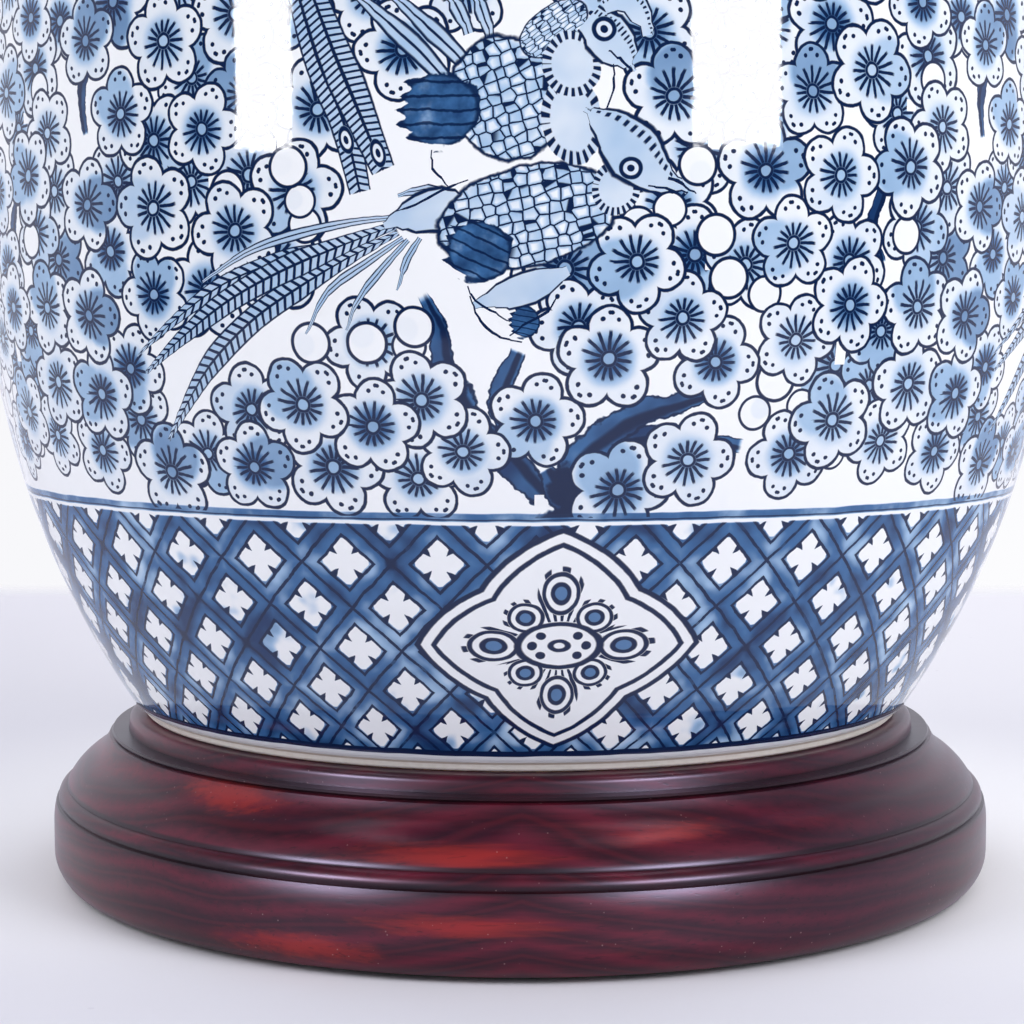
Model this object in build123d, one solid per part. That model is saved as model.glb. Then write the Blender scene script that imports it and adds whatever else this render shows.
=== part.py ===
from build123d import *
import math
import os

os.makedirs("parts", exist_ok=True)

# A ginger jar table lamp: porcelain jar and lid on a turned wood base, clamped by a
# threaded pipe, with a brass socket, a harp and a hardback empire shade.
# Millimetres, +Z up, origin at the centre of the base's underside, front towards -Y.

# ---------------------------------------------------------------- fits and clearances
running_gap = 0.08        # radial, a pin or sleeve that turns or slides on a pin
seat_gap = 0.1            # between flat faces of pieces that move against each other
push_gap = 0.1            # radial, a fixed piece pushed into its hole
sheet_gap = 0.15          # glue line between the shade's layers
nest_gap = 0.25           # radial, one thin shell nested in another

# ---------------------------------------------------------------- turned wood base
felt_r = 108.0
felt_h = 1.5
base_r = 115.0
base_h = 39.6             # table to the wood's top face
base_edge = 2.6           # how far the rounded bottom edge draws in
rim_overhang = 3.8        # top rim beyond the jar's foot
rim_h = 3.7               # top rim above the ledge
ledge_w = 4.3             # flat ledge between the rim and the cove
rim_round = 1.7
base_cavity_r = 78.0
base_web_h = 14.5         # wood left between the cavity and the top face
seat_recess_h = 1.2       # pocket in the top face for the jar's seat ring
# the side moulding, bottom up: share of the way out from ledge to widest radius,
# share of the way up from underside to ledge, and the bulge of the arc that leads there
moulding = [
    (1.00, 0.174, 0.66), (1.00, 0.378, 0.0), (0.957, 0.515, 0.15), (0.908, 0.522, 0.0),
    (0.816, 0.610, 0.60), (0.766, 0.618, 0.0), (0.766, 0.631, 0.0),
    (0.390, 0.805, 0.50), (0.043, 0.962, -0.65), (-0.030, 0.972, 0.0), (0.0, 0.985, 0.0),
]

# ---------------------------------------------------------------- cord inlet, rear
inlet_r = 4.0             # clear bore for the lead
inlet_wall = 1.1
inlet_z = 12.0
inlet_flange_r = 7.5
inlet_flange_h = 1.6
inlet_spot_h = 1.2        # flat spot faced into the round side for the flange

# ---------------------------------------------------------------- lamp pipe and nuts
pipe_r = 4.9
pipe_bore_r = 3.2
pipe_low_z = 12.0
washer_r = 16.0
washer_h = 1.5
nut_flat = 14.3           # across flats
base_nut_h = 4.0
neck_nut_h = 3.0
wood_hole_r = 5.6

# ---------------------------------------------------------------- porcelain jar
seat_ring_w = 9.0
seat_ring_h = 1.5
seat_ring_inset = 1.6     # inside the foot's outer edge
jar_foot_r = 92.8
foot_ring_w = 11.0
foot_ring_h = 5.0         # recess under the jar's floor
foot_band_h = 1.9         # upright unglazed edge
foot_flare_h = 1.2        # from the foot's edge out to the wall
foot_flare = 2.6
jar_wall = 5.0
jar_floor_h = 6.0
jar_hole_r = 7.0
belly_r = 130.6
belly_h = 142.9           # foot to the widest ring
lower_power = 2.6         # how fast the wall draws in towards the foot
jar_shoulder_h = 125.0    # widest ring to the neck's foot
shoulder_power = 3.0
shoulder_root = 1.8
jar_neck_r = 50.0
jar_neck_h = 20.0
neck_foot_r = 54.0        # where the shoulder meets the neck
wall_points = 9           # outline points on each stretch of the jar's wall

# ---------------------------------------------------------------- porcelain lid
lid_gasket_h = 0.8
lid_r = 59.0
lid_wall = 4.5
lid_skirt_h = 16.0
lid_dome_h = 29.0
lid_boss_r = 15.0
lid_boss_h = 2.4

# ---------------------------------------------------------------- brass stem
check_r = 21.0
check_h = 3.0
spigot_h = 3.0
neck_h = 30.0
neck_r = 8.0
neck_foot_bead_r = 13.0
neck_wall = 1.2

# ---------------------------------------------------------------- harp and saddle
strap_h = 2.0
strap_w = 12.0
strap_rise = 12.0
post_h = 9.0
harp_wire_r = 1.9
harp_leg_x = 30.0
harp_wide_x = 56.0
harp_top_x = 27.0
harp_h = 198.0
harp_leg_h = 40.0
harp_flare_h = 42.0
harp_crown_h = 44.0
harp_bends = [60.0, 60.0, 60.0, 34.0]
sleeve_h = 16.0
sleeve_wall = 1.4
stud_block_r = 7.0
stud_cover = 1.3          # brass above and below the wire
shoulder_r = 10.0
shoulder_h = 1.6
collar_r = 5.2
collar_h = 1.3
stud_thread_r = 3.1
stud_thread_h = 11.0

# ---------------------------------------------------------------- socket and switch
shell_r = 17.0
shell_wall = 0.6
cap_wall = 0.8
cap_neck_r = 8.2
cap_neck_h = 8.0
cap_h = 28.0
cap_rim_h = 8.0
shell_overlap = 6.0       # how deep the shell stands in the cap
shell_h = 44.0
insulator_wall = 0.7
block_h = 20.0            # moulded switch block
screw_shell_r = 13.9
screw_shell_wall = 0.6
screw_shell_h = 19.0
contact_r = 4.0
contact_h = 1.6
terminal_flat_x = 12.0
terminal_r = 1.6
terminal_head_r = 3.0
terminal_head_h = 1.8
set_screw_r = 1.5
set_screw_head_r = 2.6
shaft_r = 2.0
shaft_depth = 8.0         # inside the switch block
shaft_reach = 9.0         # outside the shell
shaft_hole_r = 3.0
knob_r = 6.5
knob_h = 13.0
knob_stand_off = 1.5
knob_flutes = 14
knob_flute_r = 0.8

# ---------------------------------------------------------------- bulb
bulb_cap_r = 13.0
bulb_cap_h = 24.0
bulb_thread_turns = 6
bulb_thread_h = 0.7
bulb_contact_r = 4.4
bulb_contact_h = 2.0
bulb_r = 30.0
bulb_h = 106.0
bulb_glass_wall = 0.8
bulb_neck_r = 11.6
bulb_neck_h = 9.0
bulb_flare_deg = 35.0     # where the flare meets the ball, below its middle

# ---------------------------------------------------------------- shade
shade_bottom_r = 203.0
shade_top_r = 127.0
shade_h = 267.0
shade_drop = 20.0         # spider washer below the shade's top edge
shade_panel_t = 0.9
shade_liner_t = 0.5
shade_wire_r = 1.6
shade_wire_inset = 1.2    # ring wire from the shade's edge
trim_t = 0.6
trim_h = 11.0
spider_r = 14.0
spider_washer_h = 1.6
spider_arms = 3
spider_bend = 12.0
spider_flat = 30.0        # level stretch of each arm beside the washer

# ---------------------------------------------------------------- finial
finial_foot_r = 7.5
finial_waist_r = 5.2
finial_insert_h = 13.0
finial_stem_r = 3.0
finial_stem_h = 8.0
finial_ball_r = 12.5
finial_ball_h = 27.0
finial_tip_r = 2.6
finial_tip_h = 2.4

# ---------------------------------------------------------------- heights that follow
ledge_z = base_h - rim_h
rim_r = jar_foot_r + rim_overhang
ledge_r = rim_r + ledge_w
web_z = base_h - base_web_h
seat_z = base_h - seat_recess_h
foot_z = seat_z + seat_ring_h
wall_z = foot_z + foot_band_h + foot_flare_h
wall_foot_r = jar_foot_r + foot_flare
belly_z = foot_z + belly_h
shoulder_z = belly_z + jar_shoulder_h
lip_z = shoulder_z + jar_neck_h
lid_seat_z = lip_z + lid_gasket_h
lid_top_z = lid_seat_z + lid_dome_h + lid_boss_h
neck_z = lid_top_z + check_h
nut_z = neck_z + neck_h
strap_z = nut_z + neck_nut_h
socket_z = strap_z + strap_h
post_top_z = strap_z + strap_rise + post_h
harp_low_z = post_top_z + seat_gap
harp_top_z = harp_low_z + harp_h
shoulder_low_z = harp_top_z + harp_wire_r + stud_cover
washer_z = shoulder_low_z + shoulder_h + seat_gap
finial_z = washer_z + spider_washer_h + seat_gap
shade_top_z = washer_z + shade_drop
shade_low_z = shade_top_z - shade_h
shell_z = socket_z + cap_h - shell_overlap
block_top_z = shell_z + block_h + insulator_wall
bulb_z = block_top_z + contact_h + seat_gap
shaft_z = shell_z + cap_rim_h + shaft_hole_r + 1.5
cap_r = shell_r + nest_gap + cap_wall
insulator_r = shell_r - shell_wall - nest_gap
block_r = insulator_r - insulator_wall - nest_gap

BASE = (Align.CENTER, Align.CENTER, Align.MIN)


def tube(outer_r, inner_r, low_z, high_z):
    """An upright tube or, with no inner radius, a disc."""
    body = Cylinder(outer_r, high_z - low_z, align=BASE)
    if inner_r > 0:
        body -= Cylinder(inner_r, high_z - low_z, align=BASE)
    return Pos(0, 0, low_z) * body


def outline_edges(steps):
    """Edges through (r, z) steps; a third number bulges the edge that leads to its step."""
    edges = []
    last = steps[0]
    for step in steps[1:]:
        if len(step) == 3 and step[2]:
            edges.append(SagittaArc(last[:2], step[:2], -step[2]))
        else:
            edges.append(Line(last[:2], step[:2]))
        last = step
    return edges


def turn_edges(edges):
    """Close the edges into a face and turn it about the vertical axis."""
    return revolve(Plane.XZ * make_face(edges), Axis.Z)


def turned(*steps):
    return turn_edges(outline_edges(steps + (steps[0][:2],)))


def hex_nut(low_z, height, hole_r):
    nut = extrude(RegularPolygon(nut_flat / 2, 6, major_radius=False), height)
    crown = turned((0, 0), (nut_flat * 0.56, 0), (nut_flat * 0.56, height * 0.7),
                   (nut_flat * 0.5, height), (0, height))
    nut = (nut & crown) - Cylinder(hole_r, height, align=BASE)
    return Pos(0, 0, low_z) * nut


def along_y(shape, y, z):
    """Lay an upright shape so that its foot is at y and it points to the front."""
    return Pos(0, y, z) * Rot(90, 0, 0) * shape


def save(shape, name):
    shape.label = name
    export_step(shape, f"parts/{name}.step")


# ================================================================ base
def make_felt_pad():
    return tube(felt_r, 0, 0, felt_h)


def make_wood_base():
    steps = [(base_cavity_r, felt_h), (base_r - base_edge, felt_h)]
    for out, up, bulge in moulding:
        radius = ledge_r + out * (base_r - ledge_r)
        steps.append((radius, felt_h + up * (ledge_z - felt_h), bulge))
    recess_r = jar_foot_r - seat_ring_inset + push_gap
    steps += [
        (ledge_r - 0.3, ledge_z), (rim_r + 0.2, ledge_z), (rim_r, base_h - rim_round),
        (rim_r - rim_round, base_h, 0.5), (recess_r, base_h), (recess_r, seat_z),
        (wood_hole_r, seat_z), (wood_hole_r, web_z), (base_cavity_r, web_z),
    ]
    base = turned(*steps)
    sleeve_hole_r = inlet_r + inlet_wall + push_gap
    spot_y = base_r - inlet_spot_h
    base -= along_y(Cylinder(sleeve_hole_r, base_r - base_cavity_r / 2, align=BASE), base_r + 5, inlet_z)
    base -= along_y(Cylinder(inlet_flange_r + push_gap, 10, align=BASE), spot_y + 10, inlet_z)
    return base


def make_cord_bushing():
    """Sleeve with a flange that lines the lead's way through the base wall."""
    sleeve_r = inlet_r + inlet_wall
    spot_y = base_r - inlet_spot_h
    length = spot_y - base_cavity_r
    steps = [
        (inlet_r, 0), (sleeve_r, 0), (sleeve_r, length), (inlet_flange_r, length),
        (inlet_flange_r, length + inlet_flange_h * 0.6),
        (inlet_flange_r - 1.2, length + inlet_flange_h, 0.25),
        (inlet_r, length + inlet_flange_h),
    ]
    return Pos(0, base_cavity_r, inlet_z) * Rot(-90, 0, 0) * turned(*steps)


def make_jar_seat_ring():
    outer = jar_foot_r - seat_ring_inset
    return tube(outer, outer - seat_ring_w, seat_z, foot_z)


# ================================================================ jar
def lower_wall(share):
    """Point of the wall from foot (0) to belly (1)."""
    z = wall_z + share * (belly_z - wall_z)
    return belly_r - (belly_r - wall_foot_r) * (1 - share) ** lower_power, z


def upper_wall(share):
    """Point of the wall from belly (0) to the neck's foot (1)."""
    z = belly_z + share * (shoulder_z - belly_z)
    fall = (1 - share ** shoulder_power) ** (1 / shoulder_root)
    return neck_foot_r + (belly_r - neck_foot_r) * fall, z


def jar_wall_points():
    lower = [lower_wall(i / (wall_points - 1)) for i in range(wall_points)]
    upper = [upper_wall(math.sin(i / wall_points * math.pi / 2)) for i in range(1, wall_points)]
    return lower + upper + [upper_wall(0.998)]


def inward(points, distance):
    """The same outline moved in by a distance, square to itself."""
    moved = []
    for i, (r, z) in enumerate(points):
        before = points[max(i - 1, 0)]
        after = points[min(i + 1, len(points) - 1)]
        dr, dz = after[0] - before[0], after[1] - before[1]
        size = math.hypot(dr, dz)
        moved.append((r - distance * dz / size, z + distance * dr / size))
    return moved


def make_jar_body():
    outer = jar_wall_points()
    floor_z = foot_z + foot_ring_h + jar_floor_h
    inner = [p for p in inward(outer, jar_wall) if p[1] > floor_z + jar_wall]
    neck_in = jar_neck_r - jar_wall
    shoulder_in = [p for p in inner if p[0] > neck_in + jar_wall * 0.6]
    edges = [Spline(*outer)]
    edges += outline_edges([
        outer[-1], (jar_neck_r, shoulder_z + 3.0, -0.7), (jar_neck_r, lip_z - 1.5),
        (jar_neck_r - 1.5, lip_z, 0.45), (neck_in + 1.5, lip_z), (neck_in, lip_z - 1.5, 0.45),
        (neck_in, shoulder_z - jar_wall * 0.4), shoulder_in[-1],
    ])
    edges.append(Spline(*reversed(shoulder_in)))
    low_in = shoulder_in[0]
    foot_in = jar_foot_r - foot_ring_w
    edges += outline_edges([
        low_in, (low_in[0] - jar_wall * 1.6, floor_z, 1.0), (jar_hole_r, floor_z),
        (jar_hole_r, foot_z + foot_ring_h), (foot_in - 2.0, foot_z + foot_ring_h),
        (foot_in, foot_z), (jar_foot_r - 0.6, foot_z), (jar_foot_r, foot_z + 0.6),
        (jar_foot_r, foot_z + foot_band_h), outer[0],
    ])
    return turn_edges(edges)


def make_jar_grommet():
    """Rubber washer that keeps the pipe in the middle of the jar's drilled floor."""
    floor_low, floor_high = foot_z + foot_ring_h, foot_z + foot_ring_h + jar_floor_h
    hole = pipe_r + push_gap
    return turned((hole, floor_low), (jar_hole_r - push_gap, floor_low), (jar_hole_r - push_gap, floor_high),
                  (washer_r, floor_high), (washer_r, floor_high + 1.6), (washer_r - 0.8, floor_high + 2.4),
                  (hole, floor_high + 2.4))


def make_lid_gasket():
    return tube(jar_neck_r - 1.6, jar_neck_r - jar_wall + 1.6, lip_z, lid_seat_z)


def make_jar_lid():
    dome_z = lid_seat_z + lid_dome_h
    skirt_low = lid_seat_z - lid_skirt_h
    skirt_in = lid_r - lid_wall
    seat_in = jar_neck_r - jar_wall
    dome_in_z = dome_z - lid_wall
    return turned(
        (skirt_in, skirt_low + 1.0), (skirt_in + 1.0, skirt_low), (lid_r - 1.2, skirt_low),
        (lid_r, skirt_low + 1.2, 0.34), (lid_r, lid_seat_z - 3.0), (lid_r - 1.5, lid_seat_z + 3.5, 0.38),
        (lid_boss_r, dome_z, 7.35), (lid_boss_r, dome_z + lid_boss_h - 0.8),
        (lid_boss_r - 0.8, dome_z + lid_boss_h, 0.23), (jar_hole_r, dome_z + lid_boss_h),
        (jar_hole_r, dome_in_z), (lid_boss_r - 3, dome_in_z), (seat_in, lid_seat_z + 3.0, -6.0),
        (seat_in, lid_seat_z), (skirt_in, lid_seat_z),
    )


# ================================================================ pipe and stem
def make_lamp_pipe():
    return tube(pipe_r, pipe_bore_r, pipe_low_z, socket_z + cap_neck_h)


def make_base_washer():
    return tube(washer_r, pipe_r + push_gap, web_z - washer_h, web_z)


def make_base_locknut():
    return hex_nut(web_z - washer_h - base_nut_h, base_nut_h, pipe_r + push_gap)


def make_check_ring():
    """Brass disc on the lid, with a spigot that centres it in the lid's hole."""
    hole = pipe_r + push_gap
    return turned(
        (hole, lid_top_z - spigot_h), (jar_hole_r - push_gap, lid_top_z - spigot_h),
        (jar_hole_r - push_gap, lid_top_z), (check_r - 0.6, lid_top_z), (check_r, lid_top_z + 0.6),
        (check_r - 1.6, lid_top_z + check_h, 0.5), (hole, neck_z),
    )


def make_brass_neck():
    """Turned tube between the check ring and the harp's strap."""
    inner = neck_r - neck_wall
    bead_h = 4.0
    top = nut_z
    return turned(
        (pipe_r + push_gap, neck_z), (neck_foot_bead_r, neck_z), (neck_foot_bead_r, neck_z + bead_h, 1.2),
        (neck_r, neck_z + bead_h + 4.0, -1.2), (neck_r, top - 7.0), (neck_r + 1.6, top - 5.5, 0.3),
        (neck_r + 1.6, top - 4.5, 0.3), (neck_r, top - 3.0, 0.3), (neck_r + 0.8, top - 1.2),
        (neck_r + 0.8, top), (pipe_r + push_gap, top), (pipe_r + push_gap, top - 2.0),
        (inner, top - 4.0), (inner, neck_z + 4.0), (pipe_r + push_gap, neck_z + 2.0),
    )


def make_neck_locknut():
    return hex_nut(nut_z, neck_nut_h, pipe_r + push_gap)


# ================================================================ harp
def make_harp_saddle():
    """Strap clamped under the socket, bent up at both ends, with a post for each harp leg."""
    mid_z = strap_h / 2
    path = FilletPolyline((-harp_leg_x, strap_rise), (-harp_leg_x, mid_z), (harp_leg_x, mid_z),
                          (harp_leg_x, strap_rise), radius=5.0)
    side = trace(path, line_width=strap_h)
    strap = extrude(Plane.XZ * side, amount=strap_w / 2, both=True)
    for x in (-harp_leg_x, harp_leg_x):
        strap += Pos(x, 0, strap_rise - 6.0) * Cylinder(harp_wire_r, post_h + 6.0, align=BASE)
        shoulder = Pos(x, 0, strap_rise) * Box(strap_h * 4, strap_w, 10.0, align=BASE)
        shoulder -= Pos(x, 0, strap_rise) * Cylinder(harp_wire_r, 10.0, align=BASE)
        strap -= shoulder
    strap -= Cylinder(pipe_r + push_gap, strap_h * 4)
    return Pos(0, 0, strap_z) * strap


def harp_path():
    top = harp_h
    half = [(harp_leg_x, 0), (harp_leg_x, harp_leg_h), (harp_wide_x, harp_leg_h + harp_flare_h),
            (harp_wide_x, top - harp_crown_h), (harp_top_x, top)]
    points = [(-x, 0, z) for x, z in half] + [(x, 0, z) for x, z in reversed(half)]
    return FilletPolyline(*points, radius=harp_bends + harp_bends[::-1])


def make_harp_wire():
    path = harp_path()
    wire = sweep(Plane(origin=path @ 0, z_dir=path % 0) * Circle(harp_wire_r), path=path)
    return Pos(0, 0, harp_low_z) * wire


def make_harp_stud():
    """Swivel stud at the harp's crown: shoulder for the shade and thread for the finial."""
    low = harp_top_z - harp_wire_r - stud_cover
    shoulder_top = shoulder_low_z + shoulder_h
    thread_top = finial_z + stud_thread_h
    stud = turned(
        (0, low), (stud_block_r - 1.0, low), (stud_block_r, low + 1.0, 0.3), (stud_block_r, shoulder_low_z),
        (shoulder_r, shoulder_low_z), (shoulder_r, shoulder_top), (collar_r, shoulder_top),
        (collar_r, shoulder_top + collar_h), (stud_thread_r, shoulder_top + collar_h),
        (stud_thread_r, thread_top - 0.8), (stud_thread_r - 0.8, thread_top), (0, thread_top),
    )
    return stud - Pos(0, 0, harp_top_z) * Rot(0, 90, 0) * Cylinder(harp_wire_r + running_gap, shoulder_r * 3)


def make_harp_sleeve(side):
    """Knurled sleeve that locks a harp leg on its post."""
    bore = harp_wire_r + running_gap
    low = post_top_z - sleeve_h / 2
    sleeve = turned(
        (bore, low), (bore + sleeve_wall - 0.4, low), (bore + sleeve_wall, low + 0.4),
        (bore + sleeve_wall, low + sleeve_h - 3.0), (bore + sleeve_wall + 0.7, low + sleeve_h - 2.0),
        (bore + sleeve_wall + 0.7, low + sleeve_h - 0.5), (bore + sleeve_wall + 0.2, low + sleeve_h),
        (bore, low + sleeve_h),
    )
    return Pos(side * harp_leg_x, 0, 0) * sleeve


# ================================================================ socket
def make_socket_cap():
    neck_top = socket_z + cap_neck_h
    rim_low = socket_z + cap_h - cap_rim_h
    top = socket_z + cap_h
    hole = pipe_r + push_gap
    cap = turned(
        (hole, socket_z), (cap_neck_r, socket_z), (cap_neck_r, neck_top), (cap_r, rim_low, 2.6),
        (cap_r, top), (cap_r - cap_wall, top), (cap_r - cap_wall, rim_low),
        (cap_neck_r - cap_wall * 0.6, neck_top + cap_wall * 0.9, -2.6), (hole, neck_top + cap_wall * 0.9),
    )
    return cap - Pos(0, cap_neck_r, socket_z + cap_neck_h / 2) * Rot(90, 0, 0) * Cylinder(
        set_screw_r + running_gap, cap_neck_r * 2 - pipe_r)


def make_cap_set_screw():
    inner_y = pipe_r + push_gap
    screw = Cylinder(set_screw_r, cap_neck_r - inner_y + 0.5, align=BASE)
    screw += Pos(0, 0, cap_neck_r - inner_y + 0.5) * Cylinder(set_screw_head_r, 1.8, align=BASE)
    screw -= Pos(0, 0, cap_neck_r - inner_y + 1.6) * Box(set_screw_head_r * 3, 0.6, 2.0, align=BASE)
    return Pos(0, inner_y, socket_z + cap_neck_h / 2) * Rot(-90, 0, 0) * screw


def side_hole(radius):
    """Cutter for the switch shaft's way in from the front."""
    return along_y(Cylinder(radius, shell_r * 2, align=BASE), 0, shaft_z)


def make_socket_shell():
    top = shell_z + shell_h
    inner = shell_r - shell_wall
    shell = turned(
        (inner, shell_z), (shell_r, shell_z), (shell_r, top - 4.0), (shell_r + 0.7, top - 3.2, 0.2),
        (shell_r + 0.7, top - 2.4, 0.2), (shell_r, top - 1.6, 0.2), (shell_r, top), (inner, top),
    )
    return shell - side_hole(shaft_hole_r)


def make_socket_insulator():
    low = shell_z
    inner = insulator_r - insulator_wall
    sleeve = turned((pipe_r, low), (insulator_r, low), (insulator_r, shell_z + shell_h - 1.0),
                    (inner, shell_z + shell_h - 1.0), (inner, low + insulator_wall),
                    (pipe_r, low + insulator_wall))
    return sleeve - side_hole(shaft_hole_r)


def make_switch_block():
    """Moulded switch block with side flats for the terminal screws."""
    low = shell_z + insulator_wall
    block = turned((0, low), (block_r - 0.6, low), (block_r, low + 0.6), (block_r, block_top_z),
                   (0, block_top_z))
    flat_low = low + 4.0
    for side in (-1, 1):
        block -= Pos(side * terminal_flat_x, 0, flat_low) * Box(
            10.0, 14.0, 12.0, align=(Align.MIN if side > 0 else Align.MAX, Align.CENTER, Align.MIN))
        block -= Pos(side * terminal_flat_x, 0, flat_low + 6.0) * Rot(0, 90, 0) * Cylinder(
            terminal_r + running_gap, 10.0)
    return block - along_y(Cylinder(shaft_r + running_gap, shaft_depth + push_gap, align=BASE),
                           -block_r + shaft_depth + push_gap, shaft_z)


def make_terminal_screws():
    low = shell_z + insulator_wall
    screws = []
    for side in (-1, 1):
        screw = Cylinder(terminal_r, 4.5, align=(Align.CENTER, Align.CENTER, Align.MAX))
        screw += Cylinder(terminal_head_r, terminal_head_h, align=BASE)
        screw -= Pos(0, 0, terminal_head_h - 0.7) * Box(terminal_head_r * 3, 0.7, 1.0, align=BASE)
        screws.append(Pos(side * terminal_flat_x, 0, low + 10.0) * Rot(0, side * 90, 0) * screw)
    return Compound(children=screws)


def make_screw_shell():
    """Threaded brass cup that takes the bulb, drawn as an open cup."""
    low = block_top_z
    top = low + screw_shell_h
    inner = screw_shell_r - screw_shell_wall
    return turned(
        (contact_r + 2.5, low), (screw_shell_r, low), (screw_shell_r, top - 1.0),
        (screw_shell_r + 0.5, top - 0.4, 0.1), (screw_shell_r + 0.3, top), (inner, top), (inner, low + 0.6),
        (contact_r + 2.5, low + 0.6),
    )


def make_centre_contact():
    low = block_top_z
    return turned((0, low), (contact_r, low), (contact_r, low + contact_h - 1.0),
                  (contact_r - 1.2, low + contact_h, 0.15), (0, low + contact_h))


def make_switch_shaft():
    length = shaft_depth + (shell_r - block_r) + shaft_reach
    return along_y(Cylinder(shaft_r, length, align=BASE), -block_r + shaft_depth, shaft_z)


def make_switch_knob():
    """Fluted turn knob on the end of the shaft."""
    low = shell_r + knob_stand_off
    shaft_end = shell_r + shaft_reach
    bore_h = shaft_end - low + push_gap
    knob = turned(
        (0, 0), (knob_r - 1.5, 0), (knob_r - 1.2, knob_h * 0.25), (knob_r, knob_h * 0.32),
        (knob_r, knob_h - 1.0), (knob_r - 1.0, knob_h, 0.3), (0, knob_h),
    )
    for i in range(knob_flutes):
        turn = Rot(0, 0, 360 * i / knob_flutes)
        flute = Pos(knob_r + knob_flute_r * 0.3, 0, knob_h * 0.4) * Cylinder(knob_flute_r, knob_h, align=BASE)
        knob -= turn * flute
    knob -= Cylinder(shaft_r + push_gap / 2, bore_h, align=BASE)
    return along_y(knob, -low, shaft_z)


# ================================================================ bulb
def make_bulb_screw_cap():
    """Threaded cap; its rounded thread is drawn as level rings, so that it turns freely."""
    low = bulb_z + bulb_contact_h
    top = bulb_z + bulb_cap_h
    pitch = (bulb_cap_h - bulb_contact_h - 8.0) / bulb_thread_turns
    root = bulb_cap_r - bulb_thread_h
    steps = [(0, low), (bulb_cap_r - 4.0, low), (root, low + 4.0, 0.6)]
    for i in range(bulb_thread_turns):
        z = low + 4.0 + i * pitch
        steps += [(root, z + pitch * 0.25), (root, z + pitch, bulb_thread_h)]
    inner = bulb_neck_r + push_gap
    steps += [(bulb_cap_r, top - 2.5), (bulb_cap_r, top), (inner, top), (inner, low + 4.6),
              (bulb_cap_r - 4.8, low + 1.0), (0, low + 1.0)]
    return turned(*steps)


def make_bulb_contact():
    return turned((0, bulb_z), (bulb_contact_r - 1.5, bulb_z), (bulb_contact_r, bulb_z + bulb_contact_h, 0.3),
                  (0, bulb_z + bulb_contact_h))


def bulb_outline(inset):
    """Neck, flare and ball of the globe, moved in by an inset."""
    low = bulb_z + bulb_cap_h - 5.8
    centre_z = bulb_z + bulb_h - bulb_r
    ball = bulb_r - inset
    tilt = math.radians(bulb_flare_deg)
    flare = (ball * math.cos(tilt), centre_z - ball * math.sin(tilt))
    neck = (bulb_neck_r - inset, low + bulb_neck_h)
    chord = math.dist(neck, flare)
    hollow = -chord / 2 * math.tan(math.atan2(flare[0] - neck[0], flare[1] - neck[1]) / 2)
    cap = ball * (1 - math.cos((math.pi / 2 + tilt) / 2))
    return [(bulb_neck_r - inset, low), neck, (*flare, hollow), (0, centre_z + ball, cap)]


def make_bulb_glass():
    """Pear-shaped globe, hollow and open at the neck inside the cap."""
    outer, inner = bulb_outline(0), bulb_outline(bulb_glass_wall)
    back = [inner[-1][:2]]
    for step, after in zip(inner[-2::-1], inner[:0:-1]):
        bulge = after[2] if len(after) == 3 else 0
        back.append((*step[:2], -bulge))
    return turned(*outer, *back)


# ================================================================ shade
def shade_r(z):
    """Outer radius of the shade's cone."""
    return shade_bottom_r + (shade_top_r - shade_bottom_r) * (z - shade_low_z) / shade_h


def cone_layer(inset, thickness, low, high):
    return turned((shade_r(low) - inset - thickness, low), (shade_r(low) - inset, low),
                  (shade_r(high) - inset, high), (shade_r(high) - inset - thickness, high))


def make_shade_panel():
    return cone_layer(0, shade_panel_t, shade_low_z, shade_top_z)


def make_shade_liner():
    return cone_layer(shade_panel_t + sheet_gap, shade_liner_t, shade_low_z + 0.5, shade_top_z - 0.5)


def wire_ring_r(z):
    """Ring wire that lies inside the liner at this height."""
    lining = shade_panel_t + sheet_gap + shade_liner_t
    return shade_r(z) - lining - sheet_gap - shade_wire_r * 1.06


def make_shade_bottom_ring():
    z = shade_low_z + shade_wire_inset + shade_wire_r
    return Pos(0, 0, z) * Torus(wire_ring_r(z), shade_wire_r)


def make_shade_spider():
    """Top ring wire with its arms and the washer that sits on the harp's stud."""
    ring_z = shade_top_z - shade_wire_inset - shade_wire_r
    ring_r = wire_ring_r(ring_z)
    washer_mid = washer_z + spider_washer_h / 2
    spider = Pos(0, 0, ring_z) * Torus(ring_r, shade_wire_r)
    washer = tube(spider_r, collar_r + running_gap, washer_z, washer_z + spider_washer_h)
    path = FilletPolyline((spider_r - 1.0, 0, washer_mid), (spider_flat, 0, washer_mid),
                          (ring_r - spider_bend, 0, ring_z), (ring_r, 0, ring_z), radius=spider_bend)
    arm = sweep(Plane(origin=path @ 0, z_dir=path % 0) * Circle(shade_wire_r), path=path)
    for i in range(spider_arms):
        spider += Rot(0, 0, 90 + 360 * i / spider_arms) * arm
    return spider + washer


def make_edge_trim(edge_z, up):
    """Folded tape over an edge of the shade: a wide leg outside and a narrow lip inside."""
    lining = shade_panel_t + sheet_gap + shade_liner_t
    gap = sheet_gap
    lap_z = edge_z + up * gap
    cap_z = lap_z + up * trim_t
    leg_z = edge_z - up * trim_h
    lip_end_z = edge_z - up * (shade_wire_inset - gap)
    return turned(
        (shade_r(leg_z) + gap, leg_z), (shade_r(leg_z) + gap + trim_t, leg_z),
        (shade_r(cap_z) + gap + trim_t, cap_z), (shade_r(cap_z) - lining - gap - trim_t, cap_z),
        (shade_r(lip_end_z) - lining - gap - trim_t, lip_end_z),
        (shade_r(lip_end_z) - lining - gap, lip_end_z),
        (shade_r(lap_z) - lining - gap, lap_z), (shade_r(lap_z) + gap, lap_z),
    )


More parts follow.
